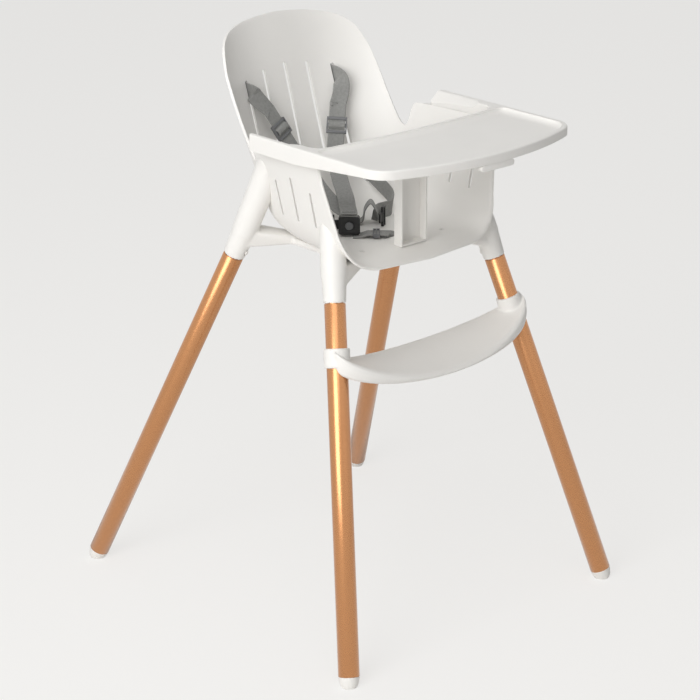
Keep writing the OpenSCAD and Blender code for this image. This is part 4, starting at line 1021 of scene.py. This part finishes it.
def makeAdjusterLoop(name):
    # the strap's turn over the middle bar: out of one window and back in by the other
    high, low, across = (Vector(v) for v in adjusterRuns[name])
    d = (low - high).normalized()
    v = d.cross(across).normalized()
    middle = high + d * (adjuster["lead"] + adjuster["travel"] + adjuster["half"])
    r = 2 * adjuster["half"] / 4.4
    half = [(r + 1.2, -0.2), (r - 0.6, 1.6), (r - 2.4, 3.6), (r * 0.4, 4.6)]
    shape = [(-a, b) for a, b in half] + [(0, 4.8)] + half[::-1]
    return makeRibbon(f"adjusterLoop{name}", [(middle + d * a + v * b, v.cross(d)) for a, b in shape], 4)


for name, node in (("Left", "shoulder_adjuster_left"), ("Right", "shoulder_adjuster_right"),
                   ("Crotch", "crotch_adjuster")):
    finish(roundedCopy(node, f"adjuster{name}", adjuster["round"]), "dark_plastic", node, node)
    if name != "Crotch":
        finish(makeAdjusterLoop(name), "webbing", node)
print("adjusters made")

# small moulded and steel parts
legButtons = [f"leg_button_{end}_{hand}" for end in ("front", "rear") for hand in ("left", "right")]
smallParts = (
    # nodes, the round of their edges, slot, and the body they ride on: none where each is its own
    (["buckle_body"], 1.6, "black_plastic", "chair"),
    (["buckle_button"], 0.9, "dark_plastic", None),
    (["waist_tongue_left", "waist_tongue_right"], 0.6, "black_plastic", "chair"),
    (["strap_stops"], 0.5, "dark_plastic", "chair"),
    (["latch_bar_left", "latch_bar_right"], 0.5, "dark_plastic", None),
    (["release_paddle"], 0.7, "white_plastic", None),
    (legButtons, 0.5, "white_plastic", None),
    (["frame_screws"], 0.25, "steel", "chair"),
    (["footrest_screws"], 0.25, "steel", "chair"),
    (["tray_post_screws"], 0.25, "steel", "tray_unit"),
)
for nodes, width, slot, body in smallParts:
    for node in nodes:
        material = coated if node == "frame_screws" else None
        finish(roundedCopy(node, camelName(node), width), slot, body or node, node, material=material)
print("small parts made")

spring = {"radius": 2.0, "wire": 0.55, "turns": 12, "from": -214, "to": -198, "height": 769,
          "pins": (-220, -194), "eye": 2.4, "sides": 20}


def makeSpring(s):
    # one wire: an eye round each pin, a straight lead and a close coil between them
    height, first, last, count = s["height"], s["from"], s["to"], s["turns"] * s["sides"]

    def swing(k, radius):
        a = 2 * pi * k / s["sides"]
        return radius * sin(a), radius * cos(a)

    def eye(pin, steps):
        return [(x, pin - y, height) for x, y in (swing(k, s["eye"]) for k in steps)]
    coil = [(x, first + (last - first) * k / count, height + z)
            for k, (x, z) in enumerate(swing(k, s["radius"]) for k in range(count + 1))]
    points = eye(s["pins"][0], range(2, 11)) + [(0, first - 1.6, height + 0.6)] + coil
    points += [(0, last + 1.4, height + 0.6)] + eye(s["pins"][1], range(19))
    curve = bpy.data.curves.new("releaseSpring", "CURVE")
    curve.dimensions = "3D"
    curve.bevel_depth, curve.bevel_resolution, curve.use_fill_caps = s["wire"] * mm, 2, True
    line = curve.splines.new("POLY")
    line.points.add(len(points) - 1)
    for point, p in zip(line.points, points):
        point.co = (*(Vector(p) * mm), 1)
    activate(newObject("releaseSpring", curve))
    bpy.ops.object.convert(target="MESH")
    return smoothShade(bpy.context.object, 60)


springPiece = makeSpring(spring)
springPiece.data.materials.append(steel)
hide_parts("release_spring")
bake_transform(springPiece)
print("spring made")

# floor, world and lamps, in metres
studio = {"floorSize": 40, "floor": {"a": "#F4F3F1", "b": "#F6F5F3"}, "floorTint": 0.8, "floorRoughness": 0.9,
          "back": "#F7F6F4", "backShare": 0.75, "worldStrength": 0.24}
lamps = {
    # where it stands, the height it aims at, its size and its power
    "key": ((-3.3, -1.1, 2.0), 0.55, 2.4, 83),
    "front": ((0.6, -3.8, 2.2), 0.5, 2.6, 2.5),
    "slant": ((-1.6, -1.2, 3.3), 0.5, 2.6, 26),
    "top": ((-0.2, 0.3, 3.6), 0.5, 2.6, 13),
}


def plainBack(tree):
    # one for the camera's and mirrors' rays, which see the plain background
    path = addNode(tree, "LightPath").outputs
    rays = {0: path["Is Camera Ray"], 1: path["Is Glossy Ray"]}
    return addNode(tree, "Math", {}, rays, operation="MAXIMUM").outputs[0]


def makeFloor(s):
    deselectAll()
    bpy.ops.mesh.primitive_plane_add(size=s["floorSize"], location=(0, 0, 0))
    floor = settle(bpy.context.object, "floor")
    material, tree, shader, place = newMaterial("paleFloorMatt", {"Roughness": s["floorRoughness"]})
    tint = addNode(tree, "TexNoise", {"Scale": s["floorTint"], "Detail": 1}, {"Vector": place["Object"]})
    dress(tree, shader, s["floor"], tint.outputs["Fac"])
    # part of the floor is its plain colour and part takes the object's shadow
    share = addNode(tree, "Math", {1: s["backShare"]}, {0: plainBack(tree)}, operation="MULTIPLY").outputs[0]
    glow = addNode(tree, "Emission", {"Color": colour(s["back"])}).outputs[0]
    mix = addNode(tree, "MixShader", {}, {0: share, 1: shader.outputs[0], 2: glow})
    tree.links.new(mix.outputs[0], tree.nodes["Material Output"].inputs["Surface"])
    floor.data.materials.append(material)


def makeWorld(s):
    world = bpy.data.worlds.new("studio")
    bpy.context.scene.world = world
    world.use_nodes = True
    tree = world.node_tree
    light = tree.nodes["Background"]
    light.inputs["Strength"].default_value = s["worldStrength"]
    light.inputs["Color"].default_value = (1, 1, 1, 1)
    back = addNode(tree, "Background", {"Color": colour(s["back"]), "Strength": 1}).outputs[0]
    mix = addNode(tree, "MixShader", {}, {0: plainBack(tree), 1: light.outputs[0], 2: back})
    tree.links.new(mix.outputs[0], tree.nodes["World Output"].inputs["Surface"])
    bpy.context.scene.view_settings.view_transform = "Standard"


makeFloor(studio)
makeWorld(studio)
for name, (at, aim, size, power) in lamps.items():
    data = bpy.data.lights.new(name, "AREA")
    data.energy, data.size = power, size
    lamp = newObject(name, data)
    lamp.location = at
    lamp.rotation_euler = (Vector((0, 0, aim)) - lamp.location).to_track_quat("-Z", "Y").to_euler()
print("studio made")
